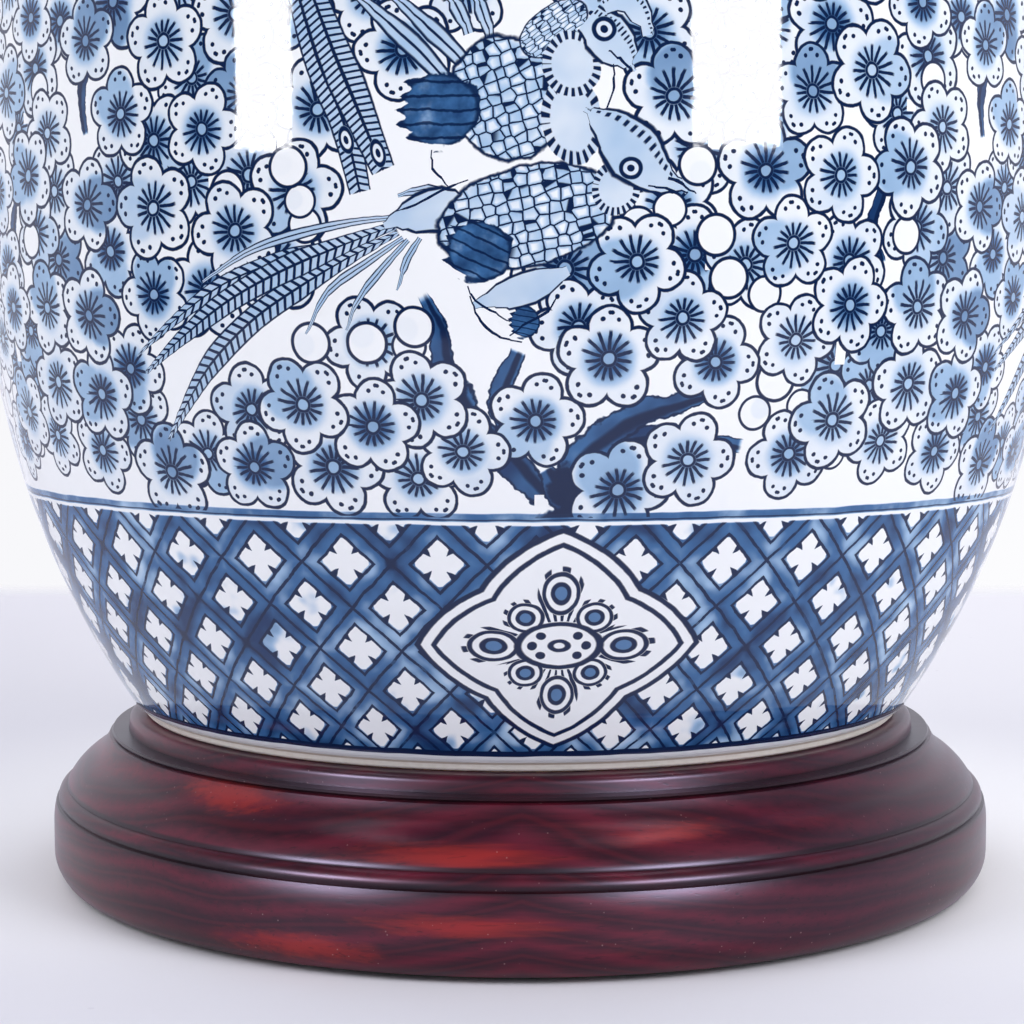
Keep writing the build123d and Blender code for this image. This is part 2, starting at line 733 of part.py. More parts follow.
# ================================================================ finial
def make_finial_insert():
    """Brass foot threaded on the stud, with a stem for the knob."""
    bore = stud_thread_r + running_gap
    low, top = finial_z, finial_z + finial_insert_h
    return turned(
        (bore, low), (finial_foot_r, low), (finial_foot_r, low + 2.0, 0.3), (finial_waist_r, low + 4.5, -0.5),
        (finial_waist_r, top - 3.0), (finial_foot_r, top - 1.2, -0.3), (finial_foot_r, top),
        (finial_stem_r, top), (finial_stem_r, top + finial_stem_h), (0, top + finial_stem_h),
        (0, low + stud_thread_h + 0.3), (bore, low + stud_thread_h + 0.3),
    )


def make_finial_knob():
    """Turned wood ball with a small tip."""
    low = finial_z + finial_insert_h
    hole = finial_stem_r + push_gap
    foot = (finial_foot_r - 0.8, low + 1.2)
    widest = (finial_ball_r, low + finial_ball_h / 2)
    neck = (finial_tip_r, low + finial_ball_h - finial_tip_h)
    edges = outline_edges([(hole, low), (foot[0], low), foot])
    edges.append(Spline(foot, widest, neck, tangents=[(0.85, 0.5), (-1, 0.15)]))
    edges += outline_edges([
        neck, (finial_tip_r, low + finial_ball_h - 1.0), (finial_tip_r - 1.0, low + finial_ball_h, 0.3),
        (0, low + finial_ball_h), (0, low + finial_stem_h + 0.3), (hole, low + finial_stem_h + 0.3),
        (hole, low),
    ])
    return turn_edges(edges)


pieces = {
    "felt_pad": make_felt_pad(),
    "wood_base": make_wood_base(),
    "cord_bushing": make_cord_bushing(),
    "base_washer": make_base_washer(),
    "base_locknut": make_base_locknut(),
    "jar_seat_ring": make_jar_seat_ring(),
    "jar_body": make_jar_body(),
    "jar_grommet": make_jar_grommet(),
    "lid_gasket": make_lid_gasket(),
    "jar_lid": make_jar_lid(),
    "lamp_pipe": make_lamp_pipe(),
    "check_ring": make_check_ring(),
    "brass_neck": make_brass_neck(),
    "neck_locknut": make_neck_locknut(),
    "harp_saddle": make_harp_saddle(),
    "harp_wire": make_harp_wire(),
    "harp_stud": make_harp_stud(),
    "harp_sleeve_left": make_harp_sleeve(-1),
    "harp_sleeve_right": make_harp_sleeve(1),
    "socket_cap": make_socket_cap(),
    "cap_set_screw": make_cap_set_screw(),
    "socket_shell": make_socket_shell(),
    "socket_insulator": make_socket_insulator(),
    "switch_block": make_switch_block(),
    "terminal_screws": make_terminal_screws(),
    "socket_screw_shell": make_screw_shell(),
    "centre_contact": make_centre_contact(),
    "switch_shaft": make_switch_shaft(),
    "switch_knob": make_switch_knob(),
    "bulb_screw_cap": make_bulb_screw_cap(),
    "bulb_contact": make_bulb_contact(),
    "bulb_glass": make_bulb_glass(),
    "shade_panel": make_shade_panel(),
    "shade_liner": make_shade_liner(),
    "shade_bottom_ring": make_shade_bottom_ring(),
    "shade_spider": make_shade_spider(),
    "shade_top_trim": make_edge_trim(shade_top_z, 1),
    "shade_bottom_trim": make_edge_trim(shade_low_z, -1),
    "finial_insert": make_finial_insert(),
    "finial_knob": make_finial_knob(),
}
for name, shape in pieces.items():
    save(shape, name)

print("overall height", round(finial_z + finial_insert_h + finial_ball_h, 2))
print("socket shell", round(shell_z, 2), "bulb", round(bulb_z, 2), "switch shaft", round(shaft_z, 2))
print("harp", round(harp_low_z, 2), round(harp_top_z, 2))
print("shade", round(shade_low_z, 2), round(shade_top_z, 2), "jar lip", round(lip_z, 2))
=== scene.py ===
import math
from functools import reduce

import bpy
import numpy as np
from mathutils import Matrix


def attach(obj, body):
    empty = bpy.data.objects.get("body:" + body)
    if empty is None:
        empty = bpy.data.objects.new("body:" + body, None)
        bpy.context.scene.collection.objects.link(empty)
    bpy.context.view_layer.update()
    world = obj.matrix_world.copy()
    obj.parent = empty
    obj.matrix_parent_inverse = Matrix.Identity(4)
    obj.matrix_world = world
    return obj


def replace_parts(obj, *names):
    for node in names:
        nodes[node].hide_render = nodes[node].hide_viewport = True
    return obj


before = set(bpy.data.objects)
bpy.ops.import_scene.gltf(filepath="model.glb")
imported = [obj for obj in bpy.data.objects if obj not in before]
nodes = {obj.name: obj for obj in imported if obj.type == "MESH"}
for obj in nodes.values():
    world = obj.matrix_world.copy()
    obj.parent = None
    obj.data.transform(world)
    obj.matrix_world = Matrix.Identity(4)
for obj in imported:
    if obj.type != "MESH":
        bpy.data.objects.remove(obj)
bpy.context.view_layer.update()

# -------------------- sizes, metres
FELT_H = 0.0015
BASE_R, BASE_H = 0.115, 0.0396
LEDGE_R, LEDGE_Z, RIM_R, RIM_ROUND = 0.1009, 0.0359, 0.0966, 0.0017
BASE_EDGE, CAVITY_R, WEB_Z, WOOD_HOLE_R = 0.0026, 0.078, 0.0251, 0.0056
RECESS_R, SEAT_Z = 0.0913, 0.0384
MOULDING = [
    (1.00, 0.174, 0.66), (1.00, 0.378, 0.0), (0.957, 0.515, 0.15), (0.908, 0.522, 0.0),
    (0.816, 0.610, 0.60), (0.766, 0.618, 0.0), (0.766, 0.631, 0.0),
    (0.390, 0.805, 0.50), (0.043, 0.962, -0.65), (-0.030, 0.972, 0.0), (0.0, 0.985, 0.0),
]
FOOT_Z, FOOT_R, FOOT_BAND = 0.0399, 0.0928, 0.0019
WALL_Z, WALL_FOOT_R = 0.0430, 0.0954
BELLY_Z, BELLY_R, LOWER_POWER = 0.1828, 0.1306, 2.6
SHOULDER_Z, NECK_FOOT_R, NECK_R, LIP_Z = 0.3078, 0.054, 0.050, 0.3278
JAR_WALL, JAR_HOLE_R, FOOT_IN_R = 0.005, 0.007, 0.0818
LID_SEAT_Z, LID_R, LID_DOME_Z = 0.3286, 0.059, 0.3576
SHADE_LOW_Z, SHADE_TOP_Z, SHADE_LOW_R, SHADE_TOP_R, SHADE_T = 0.373, 0.640, 0.203, 0.127, 0.0009

# -------------------- the photograph's view
IMAGE_MIDDLE = 512.0
FOCAL_PX = 2249.0
LENS_MM, SENSOR_MM = 79.07, 36.0
TILT = math.radians(4.58)
CAM_BACK, CAM_UP, CAM_SIDE = 0.5592, 0.1320, -0.0020
# pixels read
JAR_COLUMN = 524.5                                # the jar's axis
LINE_PY, BASE_LINE_PY = 518, 754                  # blue line over the lattice, dark line at the foot
CELL_PIXEL, CELL_BELOW_PIXEL = (348, 563), (361, 650)        # middles of two windows of the lattice
PANEL_PX, PANEL_PY, PANEL_RIGHT_PX = 562, 637, 700
PANEL_TOP_PY, PANEL_FOOT_PY = 531, 746


# ==================== profiles
def wall_radius(z):
    """Radius of the painted wall at a height, for numbers and arrays."""
    z = np.asarray(z, float)
    low = np.clip((z - WALL_Z) / (BELLY_Z - WALL_Z), 0, 1)
    up = np.clip((z - BELLY_Z) / (SHOULDER_Z - BELLY_Z), 0, 1)
    lower = BELLY_R - (BELLY_R - WALL_FOOT_R) * (1 - low) ** LOWER_POWER
    upper = NECK_FOOT_R + (BELLY_R - NECK_FOOT_R) * (1 - up ** 3) ** (1 / 1.8)
    return np.where(z < BELLY_Z, lower, upper)


def bulged(start, end, bulge, steps=7):
    """Points on the arc from start to end, start left out; a positive bulge bends outwards."""
    (r0, z0), (r1, z1) = start, end
    chord = math.hypot(r1 - r0, z1 - z0)
    if not bulge:
        return [end]
    nr, nz = (z1 - z0) / chord, -(r1 - r0) / chord
    radius = (chord ** 2 / 4 + bulge ** 2) / (2 * abs(bulge))
    half = math.asin(min(1, chord / 2 / radius))
    points = []
    for i in range(1, steps + 1):
        a = -half + 2 * half * i / steps
        along = math.sin(a) * radius / chord + 0.5
        out = math.copysign(math.cos(a) * radius - (radius - abs(bulge)), bulge)
        points.append((r0 + (r1 - r0) * along + nr * out, z0 + (z1 - z0) * along + nz * out))
    return points


def outline(*steps):
    """(r, z) points through steps of (r, z) or (r, z, bulge of the arc leading there)."""
    points = [steps[0][:2]]
    for step in steps[1:]:
        points += bulged(points[-1], step[:2], step[2] if len(step) == 3 else 0)
    return points


def spaced(points, spacing):
    """The same outline with long runs divided."""
    result = [points[0]]
    for (r0, z0), (r1, z1) in zip(points, points[1:]):
        count = max(1, math.ceil(math.hypot(r1 - r0, z1 - z0) / spacing))
        result += [(r0 + (r1 - r0) * i / count, z0 + (z1 - z0) * i / count)
                   for i in range(1, count + 1)]
    return result


# ==================== meshes
def linked(name, data):
    """A new object in the scene."""
    obj = bpy.data.objects.new(name, data)
    bpy.context.scene.collection.objects.link(obj)
    return obj


def lathe(name, points, columns, v_marks=None):
    """A closed outline turned about the vertical axis; returns the object.
    v_marks are the outline's shares of the UV map's height, for points that need more room."""
    rz = np.array(points)
    rows = len(rz)
    turn = np.arange(columns) / columns * 2 * math.pi
    x = rz[:, 0, None] * np.sin(turn)
    y = -rz[:, 0, None] * np.cos(turn)
    z = np.repeat(rz[:, 1, None], columns, axis=1)
    coords = np.stack([x, y, z], axis=-1).reshape(-1, 3)
    i, j = np.meshgrid(np.arange(rows), np.arange(columns), indexing="ij")
    i, j = i.ravel(), j.ravel()
    up, on = (i + 1) % rows, (j + 1) % columns
    faces = np.stack([i * columns + j, i * columns + on, up * columns + on, up * columns + j], axis=1)
    mesh = bpy.data.meshes.new(name)
    mesh.vertices.add(len(coords))
    mesh.vertices.foreach_set("co", coords.astype(np.float32).ravel())
    mesh.loops.add(faces.size)
    mesh.loops.foreach_set("vertex_index", faces.astype(np.int32).ravel())
    mesh.polygons.add(len(faces))
    mesh.polygons.foreach_set("loop_start", np.arange(len(faces), dtype=np.int32) * 4)
    mesh.update(calc_edges=True)
    if v_marks is None:
        steps = np.hypot(*(np.roll(rz, -1, axis=0) - rz).T)
        v_marks = np.concatenate([[0], np.cumsum(steps)]) / steps.sum()
    u = np.stack([j, j + 1, j + 1, j], axis=1) / columns
    v = np.stack([v_marks[i], v_marks[i], v_marks[i + 1], v_marks[i + 1]], axis=1)
    layer = mesh.uv_layers.new(name="OFBake")
    layer.data.foreach_set("uv", np.stack([u, v], axis=-1).astype(np.float32).ravel())
    mesh.polygons.foreach_set("use_smooth", np.ones(len(faces), dtype=bool))
    mesh.validate()
    return linked(name, mesh)


def sharpen(obj, degrees):
    """Creases stay crisp where faces meet at more than this angle."""
    obj.data.set_sharp_from_angle(angle=math.radians(degrees))


def corner_attribute(obj, name, values):
    data = obj.data.attributes.new(name, "FLOAT_VECTOR", "CORNER")
    data.data.foreach_set("vector", np.ascontiguousarray(values, np.float32).ravel())


# ==================== node arithmetic
class Val:
    """A socket of the node tree in hand, with arithmetic."""
    tree = None

    def __init__(self, socket):
        self.socket = socket

    def __add__(self, o): return calc("ADD", self, o)
    def __radd__(self, o): return calc("ADD", o, self)
    def __sub__(self, o): return calc("SUBTRACT", self, o)
    def __rsub__(self, o): return calc("SUBTRACT", o, self)
    def __mul__(self, o): return calc("MULTIPLY", self, o)
    def __rmul__(self, o): return calc("MULTIPLY", o, self)
    def __truediv__(self, o): return calc("DIVIDE", self, o)
    def __lt__(self, o): return calc("LESS_THAN", self, o)
    def __gt__(self, o): return calc("GREATER_THAN", self, o)


def node(kind, **settings):
    made = Val.tree.nodes.new(kind)
    for key, value in settings.items():
        setattr(made, key, value)
    return made


def feed(socket, value):
    if isinstance(value, Val):
        Val.tree.links.new(value.socket, socket)
    elif value is not None:
        socket.default_value = value


def calc(operation, *values):
    made = node("ShaderNodeMath", operation=operation)
    for socket, value in zip(made.inputs, values):
        feed(socket, value)
    return Val(made.outputs[0])


def absolute(a): return calc("ABSOLUTE", a)
def least(*values): return reduce(lambda a, b: calc("MINIMUM", a, b), values)
def most(*values): return reduce(lambda a, b: calc("MAXIMUM", a, b), values)
def sine(a): return calc("SINE", a)
def cosine(a): return calc("COSINE", a)
def part_of(a): return calc("FRACT", a)
def whole(a): return calc("FLOOR", a)
def root(a): return calc("SQRT", a)
def reach(a, b): return root(a * a + b * b)


def ramp(value, low, high, to_low=0.0, to_high=1.0):
    """Smooth step from low to high."""
    made = node("ShaderNodeMapRange", interpolation_type="SMOOTHSTEP")
    for socket, item in zip(made.inputs, (value, low, high, to_low, to_high)):
        feed(socket, item)
    return Val(made.outputs[0])


def line(distance, width):
    """1 on a line where distance is near 0."""
    soft = 0.45
    return ramp(absolute(distance), width * (1 + soft), width * (1 - soft))


def inside(distance, soft):
    """1 where distance is below 0."""
    return ramp(distance, soft, -soft)


def lerp(low, high, share):
    """Mix of two numbers."""
    made = node("ShaderNodeMix", data_type="FLOAT")
    for socket, item in zip(made.inputs[0:1] + made.inputs[2:4], (share, low, high)):
        feed(socket, item)
    return Val(made.outputs[0])


def tint(low, high, share):
    """Mix of two colours."""
    made = node("ShaderNodeMix", data_type="RGBA")
    feed(made.inputs[0], share)
    feed(made.inputs[6], low)
    feed(made.inputs[7], high)
    return Val(made.outputs[2])


def washed(colour, *washes):
    """A colour under washes of (screen colour, share), the last one on top."""
    return reduce(lambda below, wash: tint(below, srgb(*wash[0]), wash[1]), washes, colour)


def split(vector):
    made = node("ShaderNodeSeparateXYZ")
    feed(made.inputs[0], vector)
    return [Val(o) for o in made.outputs]


def join(x, y, z):
    made = node("ShaderNodeCombineXYZ")
    for socket, item in zip(made.inputs, (x, y, z)):
        feed(socket, item)
    return Val(made.outputs[0])


def attribute(name):
    return Val(node("ShaderNodeAttribute", attribute_name=name).outputs["Vector"])


def noise(vector, scale, detail=2.0, rough=0.5, distortion=0.0, colour=False):
    made = node("ShaderNodeTexNoise")
    feed(made.inputs["Vector"], vector)
    for key, value in (("Scale", scale), ("Detail", detail), ("Roughness", rough),
                       ("Distortion", distortion)):
        made.inputs[key].default_value = value
    return Val(made.outputs["Color" if colour else "Fac"])


def cells(vector, scale, feature="F1", output="Distance", randomness=1.0):
    made = node("ShaderNodeTexVoronoi", feature=feature)
    feed(made.inputs["Vector"], vector)
    made.inputs["Scale"].default_value = scale
    made.inputs["Randomness"].default_value = randomness
    return Val(made.outputs[output])


def srgb(r, g, b):
    """Linear colour from screen values."""
    def one(c):
        c /= 255
        return c / 12.92 if c <= 0.04045 else ((c + 0.055) / 1.055) ** 2.4
    return one(r), one(g), one(b), 1.0


def material(name):
    """Starts a material; returns it and the object's coordinates."""
    made = bpy.data.materials.new(name)
    made.use_nodes = True
    Val.tree = made.node_tree
    Val.tree.nodes.clear()
    return made, Val(node("ShaderNodeTexCoord").outputs["Object"])


def surface(colour, roughness, bump, bump_mm, **inputs):
    """A Principled surface; bump is a height from 0 to 1 that stands for bump_mm."""
    shader = node("ShaderNodeBsdfPrincipled")
    feed(shader.inputs["Base Color"], colour)
    feed(shader.inputs["Roughness"], roughness)
    for key, value in inputs.items():
        feed(shader.inputs[key.replace("_", " ")], value)
    made = node("ShaderNodeBump")
    feed(made.inputs["Height"], bump)
    made.inputs["Strength"].default_value = 1.0
    made.inputs["Distance"].default_value = bump_mm / 1000
    feed(shader.inputs["Normal"], Val(made.outputs[0]))
    feed(node("ShaderNodeOutputMaterial").inputs["Surface"], Val(shader.outputs[0]))


def paint(obj, made):
    obj.data.materials.clear()
    obj.data.materials.append(made)


# ==================== jar: where the painting goes
COLUMNS = 320
wall_z = np.concatenate([
    WALL_Z + (BELLY_Z - WALL_Z) * np.linspace(0, 1, 62),
    BELLY_Z + (SHOULDER_Z - BELLY_Z) * np.sin(np.linspace(0, 1, 70)[1:] ** 0.92 * math.pi / 2) * 0.9995,
])
wall_r = wall_radius(wall_z)
arc_z = np.linspace(WALL_Z, SHOULDER_Z * 0.9998, 4000)
arc_s = np.concatenate([[0], np.cumsum(np.hypot(np.diff(arc_z), np.diff(wall_radius(arc_z))))])


def along_wall(z):
    """Length along the wall from its foot."""
    return np.interp(z, arc_z, arc_s)


def on_wall(px, py):
    """Azimuth in degrees and length along the wall of what the photograph shows at a pixel."""
    side, rise = (px - JAR_COLUMN) / FOCAL_PX, (IMAGE_MIDDLE - py) / FOCAL_PX
    dy = math.cos(TILT) + rise * math.sin(TILT)
    dz = -math.sin(TILT) + rise * math.cos(TILT)
    t = np.linspace(0.35, 0.62, 2700)
    x, y, z = t * side, -CAM_BACK + t * dy, CAM_UP + t * dz
    inside_it = np.hypot(x, y) < wall_radius(np.clip(z, WALL_Z, SHOULDER_Z))
    hit = int(np.argmax(inside_it)) if inside_it.any() else int(np.argmin(np.hypot(x, y)))
    return math.degrees(math.atan2(x[hit], -y[hit])), float(along_wall(z[hit]))


def turned_by(azimuth, centre):
    """Azimuth from a centre, for a pattern that repeats every quarter turn."""
    return (azimuth - centre + 45.0) % 90.0 - 45.0


# -------------------- places read, in pixels
FLOWERS = [
    (88, 41), (166, 41), (123, 114), (204, 129), (156, 208), (90, 205), (237, 231), (157, 295),
    (92, 316), (105, 394), (101, 449), (175, 472), (305, 405), (375, 427), (257, 467),
    (336, 467), (424, 400), (465, 452), (405, 49), (676, 96), (874, 70), (815, 91), (843, 175),
    (913, 167), (945, 127), (925, 2), (639, 262), (685, 318), (611, 359), (581, 327),
    (718, 362), (796, 243), (852, 305), (920, 307), (798, 340), (911, 384), (835, 420),
    (883, 441), (937, 451), (690, 460), (791, 454), (538, 421), (620, 490), (852, 261),
]
BUDS = [
    (290, 167), (302, 201), (307, 225), (313, 343), (416, 327), (369, 343), (411, 346),
    (672, 209), (718, 235), (731, 278), (767, 294), (778, 380), (757, 413), (803, 405),
    (909, 235), (936, 80), (700, 165), (834, 454), (230, 190), (640, 225),
]
BARE = [(286, 20), (330, 120), (300, 170), (330, 240), (200, 300), (140, 372), (178, 448),
        (232, 448), (250, 400), (300, 370), (390, 315), (460, 300), (500, 340), (560, 270),
        (640, 215), (700, 180), (640, 0), (286, -60)]
FLOWER_R, BUD_R = 0.0098, 0.0038
FLOWER_GAP, WOOD_GAP = 0.0102, 0.0100       # least distance of an added flower from a flower, a branch
TRIES = 3600

FRONT_DEG = 46          # flowers further round are copies out of the next quarter
quarter_flowers = []          # azimuth, length along the wall, radius, kind, seed
draw = np.random.default_rng(11)
for spots, radius, kind in ((FLOWERS, FLOWER_R, 1), (BUDS, BUD_R, 2)):
    for px, py in spots:
        azimuth, length = on_wall(px, py)
        if abs(azimuth) <= FRONT_DEG:
            size = radius * (draw.uniform(0.93, 1.08) if kind == 1 else draw.uniform(0.85, 1.15))
            quarter_flowers.append((azimuth, length, size, kind, draw.uniform(0.02, 0.97)))


def in_polygon(x, y, polygon):
    """True where points are inside; even-odd rule."""
    result = np.zeros(np.shape(x), bool)
    for (x0, y0), (x1, y1) in zip(polygon, polygon[1:] + polygon[:1]):
        if y0 != y1:
            crosses = (y0 > y) != (y1 > y)
            result ^= crosses & (x < (x1 - x0) * (y - y0) / (y1 - y0) + x0)
    return result


LINE_S = on_wall(JAR_COLUMN, LINE_PY)[1]
bare_area = [on_wall(px, max(py, 2)) for px, py in BARE]
TOP_S = float(along_wall(SHOULDER_Z - 0.004)) - 0.020
FIELD_LOW = LINE_S + 0.004
# kind, seed, half-widths in mm from start to end, then the pixels it goes through; topmost first
STROKE, BARBED, SCALED, WING, EYE, SOFT, PLUME, LEAF = range(1, 9)
STROKES = [(STROKE, 0.1, *rest) for rest in (
    ([0.30, 0.34, 0.12], [(670, 178), (682, 182), (698, 194)]),
    ([0.15, 0.30, 0.12], [(650, 186), (668, 189), (690, 192)]),
    ([0.15, 0.34, 0.15], [(610, 52), (622, 58), (634, 72)]),
    ([0.12, 0.25, 0.10], [(616, 64), (616, 86), (608, 108)]),
    ([0.10, 0.30, 0.12], [(396, 212), (420, 204), (444, 190), (470, 180)]),
    ([0.12, 0.30, 0.12], [(472, 296), (482, 320), (500, 336), (524, 342)]),
    ([0.12, 0.30, 0.12], [(560, 296), (548, 314), (530, 322), (512, 336)]),
    ([0.12, 0.30, 0.12], [(434, 150), (436, 170), (450, 186)]),
    ([0.12, 0.26, 0.10], [(470, 286), (476, 300), (496, 312), (512, 322)]),
)]
# kind, seed, middle, half-sizes in mm, angle
EYES = [
    (EYE, 0.3, (606, 29), 2.4, 2.4, 0), (EYE, 0.3, (633, 168), 2.4, 2.2, 0),
    (EYE, 0.8, (348, 140), 1.5, 2.8, 15), (EYE, 0.8, (380, 153), 1.5, 2.8, 15),
]
HEADS = [
    (LEAF, 0.6, [1.4, 3.4, 2.6, 0.8], [(606, 8), (624, 0), (642, 14), (648, 36)]),
    (LEAF, 0.6, [3.0, 5.2, 4.4, 0.3], [(590, 18), (603, 30), (618, 46), (637, 71)]),
    (LEAF, 0.5, [0.5, 4.6, 6.6, 4.0, 0.3], [(586, 110), (610, 126), (636, 152), (660, 175), (690, 189)]),
]
PATCHES = [
    (SOFT, 0.5, (574, 64), 5.6, 6.2, 0), (SOFT, 0.6, (618, 188), 4.6, 5.2, -10),
    (SOFT, 0.4, (574, 120), 5.8, 8.4, 8),
    (WING, 0.3, (441, 110), 7.6, 7.0, 10), (WING, 0.6, (481, 251), 6.2, 5.8, -15),
    (WING, 0.8, (527, 322), 2.8, 3.0, 0),
    (SCALED, 0.1, (556, 28), 7.4, 4.2, 35), (SCALED, 0.2, (508, 98), 10.4, 12.0, 20),
    (SCALED, 0.7, (530, 216), 17.8, 9.6, 13),
]
FEATHERS = [
    (LEAF, 0.3, [2.2, 4.8, 3.6, 0.6], [(474, 206), (450, 208), (420, 214), (386, 226)]),
    (LEAF, 0.4, [0.8, 3.6, 3.2, 0.5], [(570, 270), (530, 288), (498, 298), (476, 306)]),
    (BARBED, 0.30, [0.6, 2.7, 2.4, 0.4],
     [(404, 222), (350, 243), (290, 268), (235, 298), (190, 333), (150, 372)]),
    (BARBED, 0.30, [0.5, 2.5, 2.6, 0.4],
     [(400, 233), (350, 258), (300, 288), (255, 320), (215, 362), (192, 400), (172, 440)]),
    (BARBED, 0.22, [0.4, 2.0, 1.6, 0.2],
     [(398, 228), (340, 246), (280, 262), (226, 284), (180, 318), (140, 356)]),
    (PLUME, 0.5, [0.5, 1.2, 0.3], [(400, 217), (355, 222), (300, 234), (250, 252), (205, 282)]),
    (PLUME, 0.4, [0.5, 1.0, 0.2], [(405, 238), (370, 262), (330, 292), (308, 334)]),
    (PLUME, 0.2, [0.5, 0.9, 0.2], [(410, 240), (385, 268), (360, 300), (348, 330)]),
    (PLUME, 0.6, [0.5, 0.9, 0.2], [(422, 238), (408, 262), (398, 290)]),
    (PLUME, 0.7, [0.6, 1.2, 0.2], [(462, 196), (430, 190), (400, 196)]),
    (BARBED, 0.24, [2.8, 3.9, 2.4], [(312, -12), (335, 50), (358, 105), (385, 170)]),
    (BARBED, 0.24, [2.2, 3.3, 2.2], [(300, -5), (320, 60), (345, 120), (362, 192)]),
    (PLUME, 0.5, [0.8, 2.4, 1.4], [(356, -8), (390, 22), (425, 55), (458, 92)]),
    (PLUME, 0.3, [0.8, 2.2, 1.2], [(392, -8), (425, 22), (452, 48), (480, 78)]),
    (PLUME, 0.7, [0.8, 1.8, 1.0], [(450, -8), (462, 12), (470, 34)]),
    (PLUME, 0.5, [0.8, 1.6, 0.8], [(478, -8), (486, 16), (492, 40)]),
]
BRANCH, LOOSE_SPOT = 1.5, 4.5          # codes that branch_look tells apart
BRANCHES = [          # half-widths in mm, pixels
    ([2.6, 3.2, 1.6], [(575, 522), (560, 490), (548, 470)]),
    ([3.2, 3.4, 2.6, 1.0], [(592, 522), (574, 480), (592, 448), (632, 418), (682, 402), (738, 390)]),
    ([2.6, 3.0, 2.8, 1.0],
     [(560, 512), (530, 480), (490, 440), (462, 400), (446, 360), (442, 330), (426, 298)]),
    ([2.0, 2.2, 1.2], [(600, 452), (640, 436), (690, 436), (742, 446)]),
    ([1.2, 1.6, 0.8], [(92, 38), (88, 70), (84, 100), (88, 134)]),
    ([1.0, 1.6, 0.8], [(884, 262), (874, 225), (886, 190), (880, 168)]),
    ([1.2, 2.2, 1.5], [(520, 440), (500, 410), (508, 380), (520, 352)]),
]
# middle in pixels, half-sizes in mm
SPOTS_DARK = [(580, 517, 7.5, 3.0), (572, 488, 4.5, 5.0), (485, 446, 4.4, 4.0), (452, 388, 3.4, 4.4)]

wood_points = [on_wall(*p) for _, pixels in BRANCHES for p in pixels]
wood_points += [((a + c) / 2, (b + d) / 2) for (a, b), (c, d) in zip(wood_points, wood_points[1:])
                if abs(a - c) < 12]
for share_a, share_s, seed in draw.uniform(0, 1, (TRIES, 3)):
    azimuth = -45 + 90 * share_a
    length = FIELD_LOW + 0.004 + (TOP_S - FIELD_LOW) * share_s
    if in_polygon(azimuth, length, bare_area):
        continue
    radius_here = float(np.interp(length, arc_s, wall_radius(arc_z)))
    keep_off = [(a, s, FLOWER_GAP) for a, s, _, kind, _ in quarter_flowers if kind == 1]
    keep_off += [(a, s, WOOD_GAP) for a, s in wood_points]
    if all(math.hypot(math.radians(turned_by(azimuth, a)) * radius_here, length - s) > gap
           for a, s, gap in keep_off):
        quarter_flowers.append((azimuth, length, FLOWER_R * (0.92 + 0.16 * seed), 1, 0.02 + 0.95 * seed))

HIGH_SLOTS, FLOWER_SLOTS, LOW_SLOTS = 5, 4, 3
REACH, SLIVER = 0.03, 0.02      # metres: a disc's greatest reach, and what no face spans but at the wrap


def smooth_path(points, spacing):
    """Points along a smooth curve through the given ones."""
    p = np.array(points, float)
    p = np.vstack([2 * p[0] - p[1], p, 2 * p[-1] - p[-2]])
    dense = []
    for a, b, c, d in zip(p, p[1:], p[2:], p[3:]):
        t = np.linspace(0, 1, 24, endpoint=False)[:, None]
        dense.append(0.5 * (2 * b + (c - a) * t + (2 * a - 5 * b + 4 * c - d) * t ** 2
                            + (3 * b - a - 3 * c + d) * t ** 3))
    dense = np.vstack([*dense, p[-2:-1]])
    run = np.concatenate([[0], np.cumsum(np.hypot(*np.diff(dense, axis=0).T))])
    at = np.linspace(0, run[-1], max(8, int(run[-1] / spacing)))
    return np.stack([np.interp(at, run, dense[:, 0]), np.interp(at, run, dense[:, 1])], axis=1)


def nearest(values):
    """Least distance from 0 to what a face spans, 0 where it spans 0."""
    low, high = values.min(axis=1), values.max(axis=1)
    return np.where((low < 0) & (high > 0), 0, np.minimum(np.abs(low), np.abs(high)))


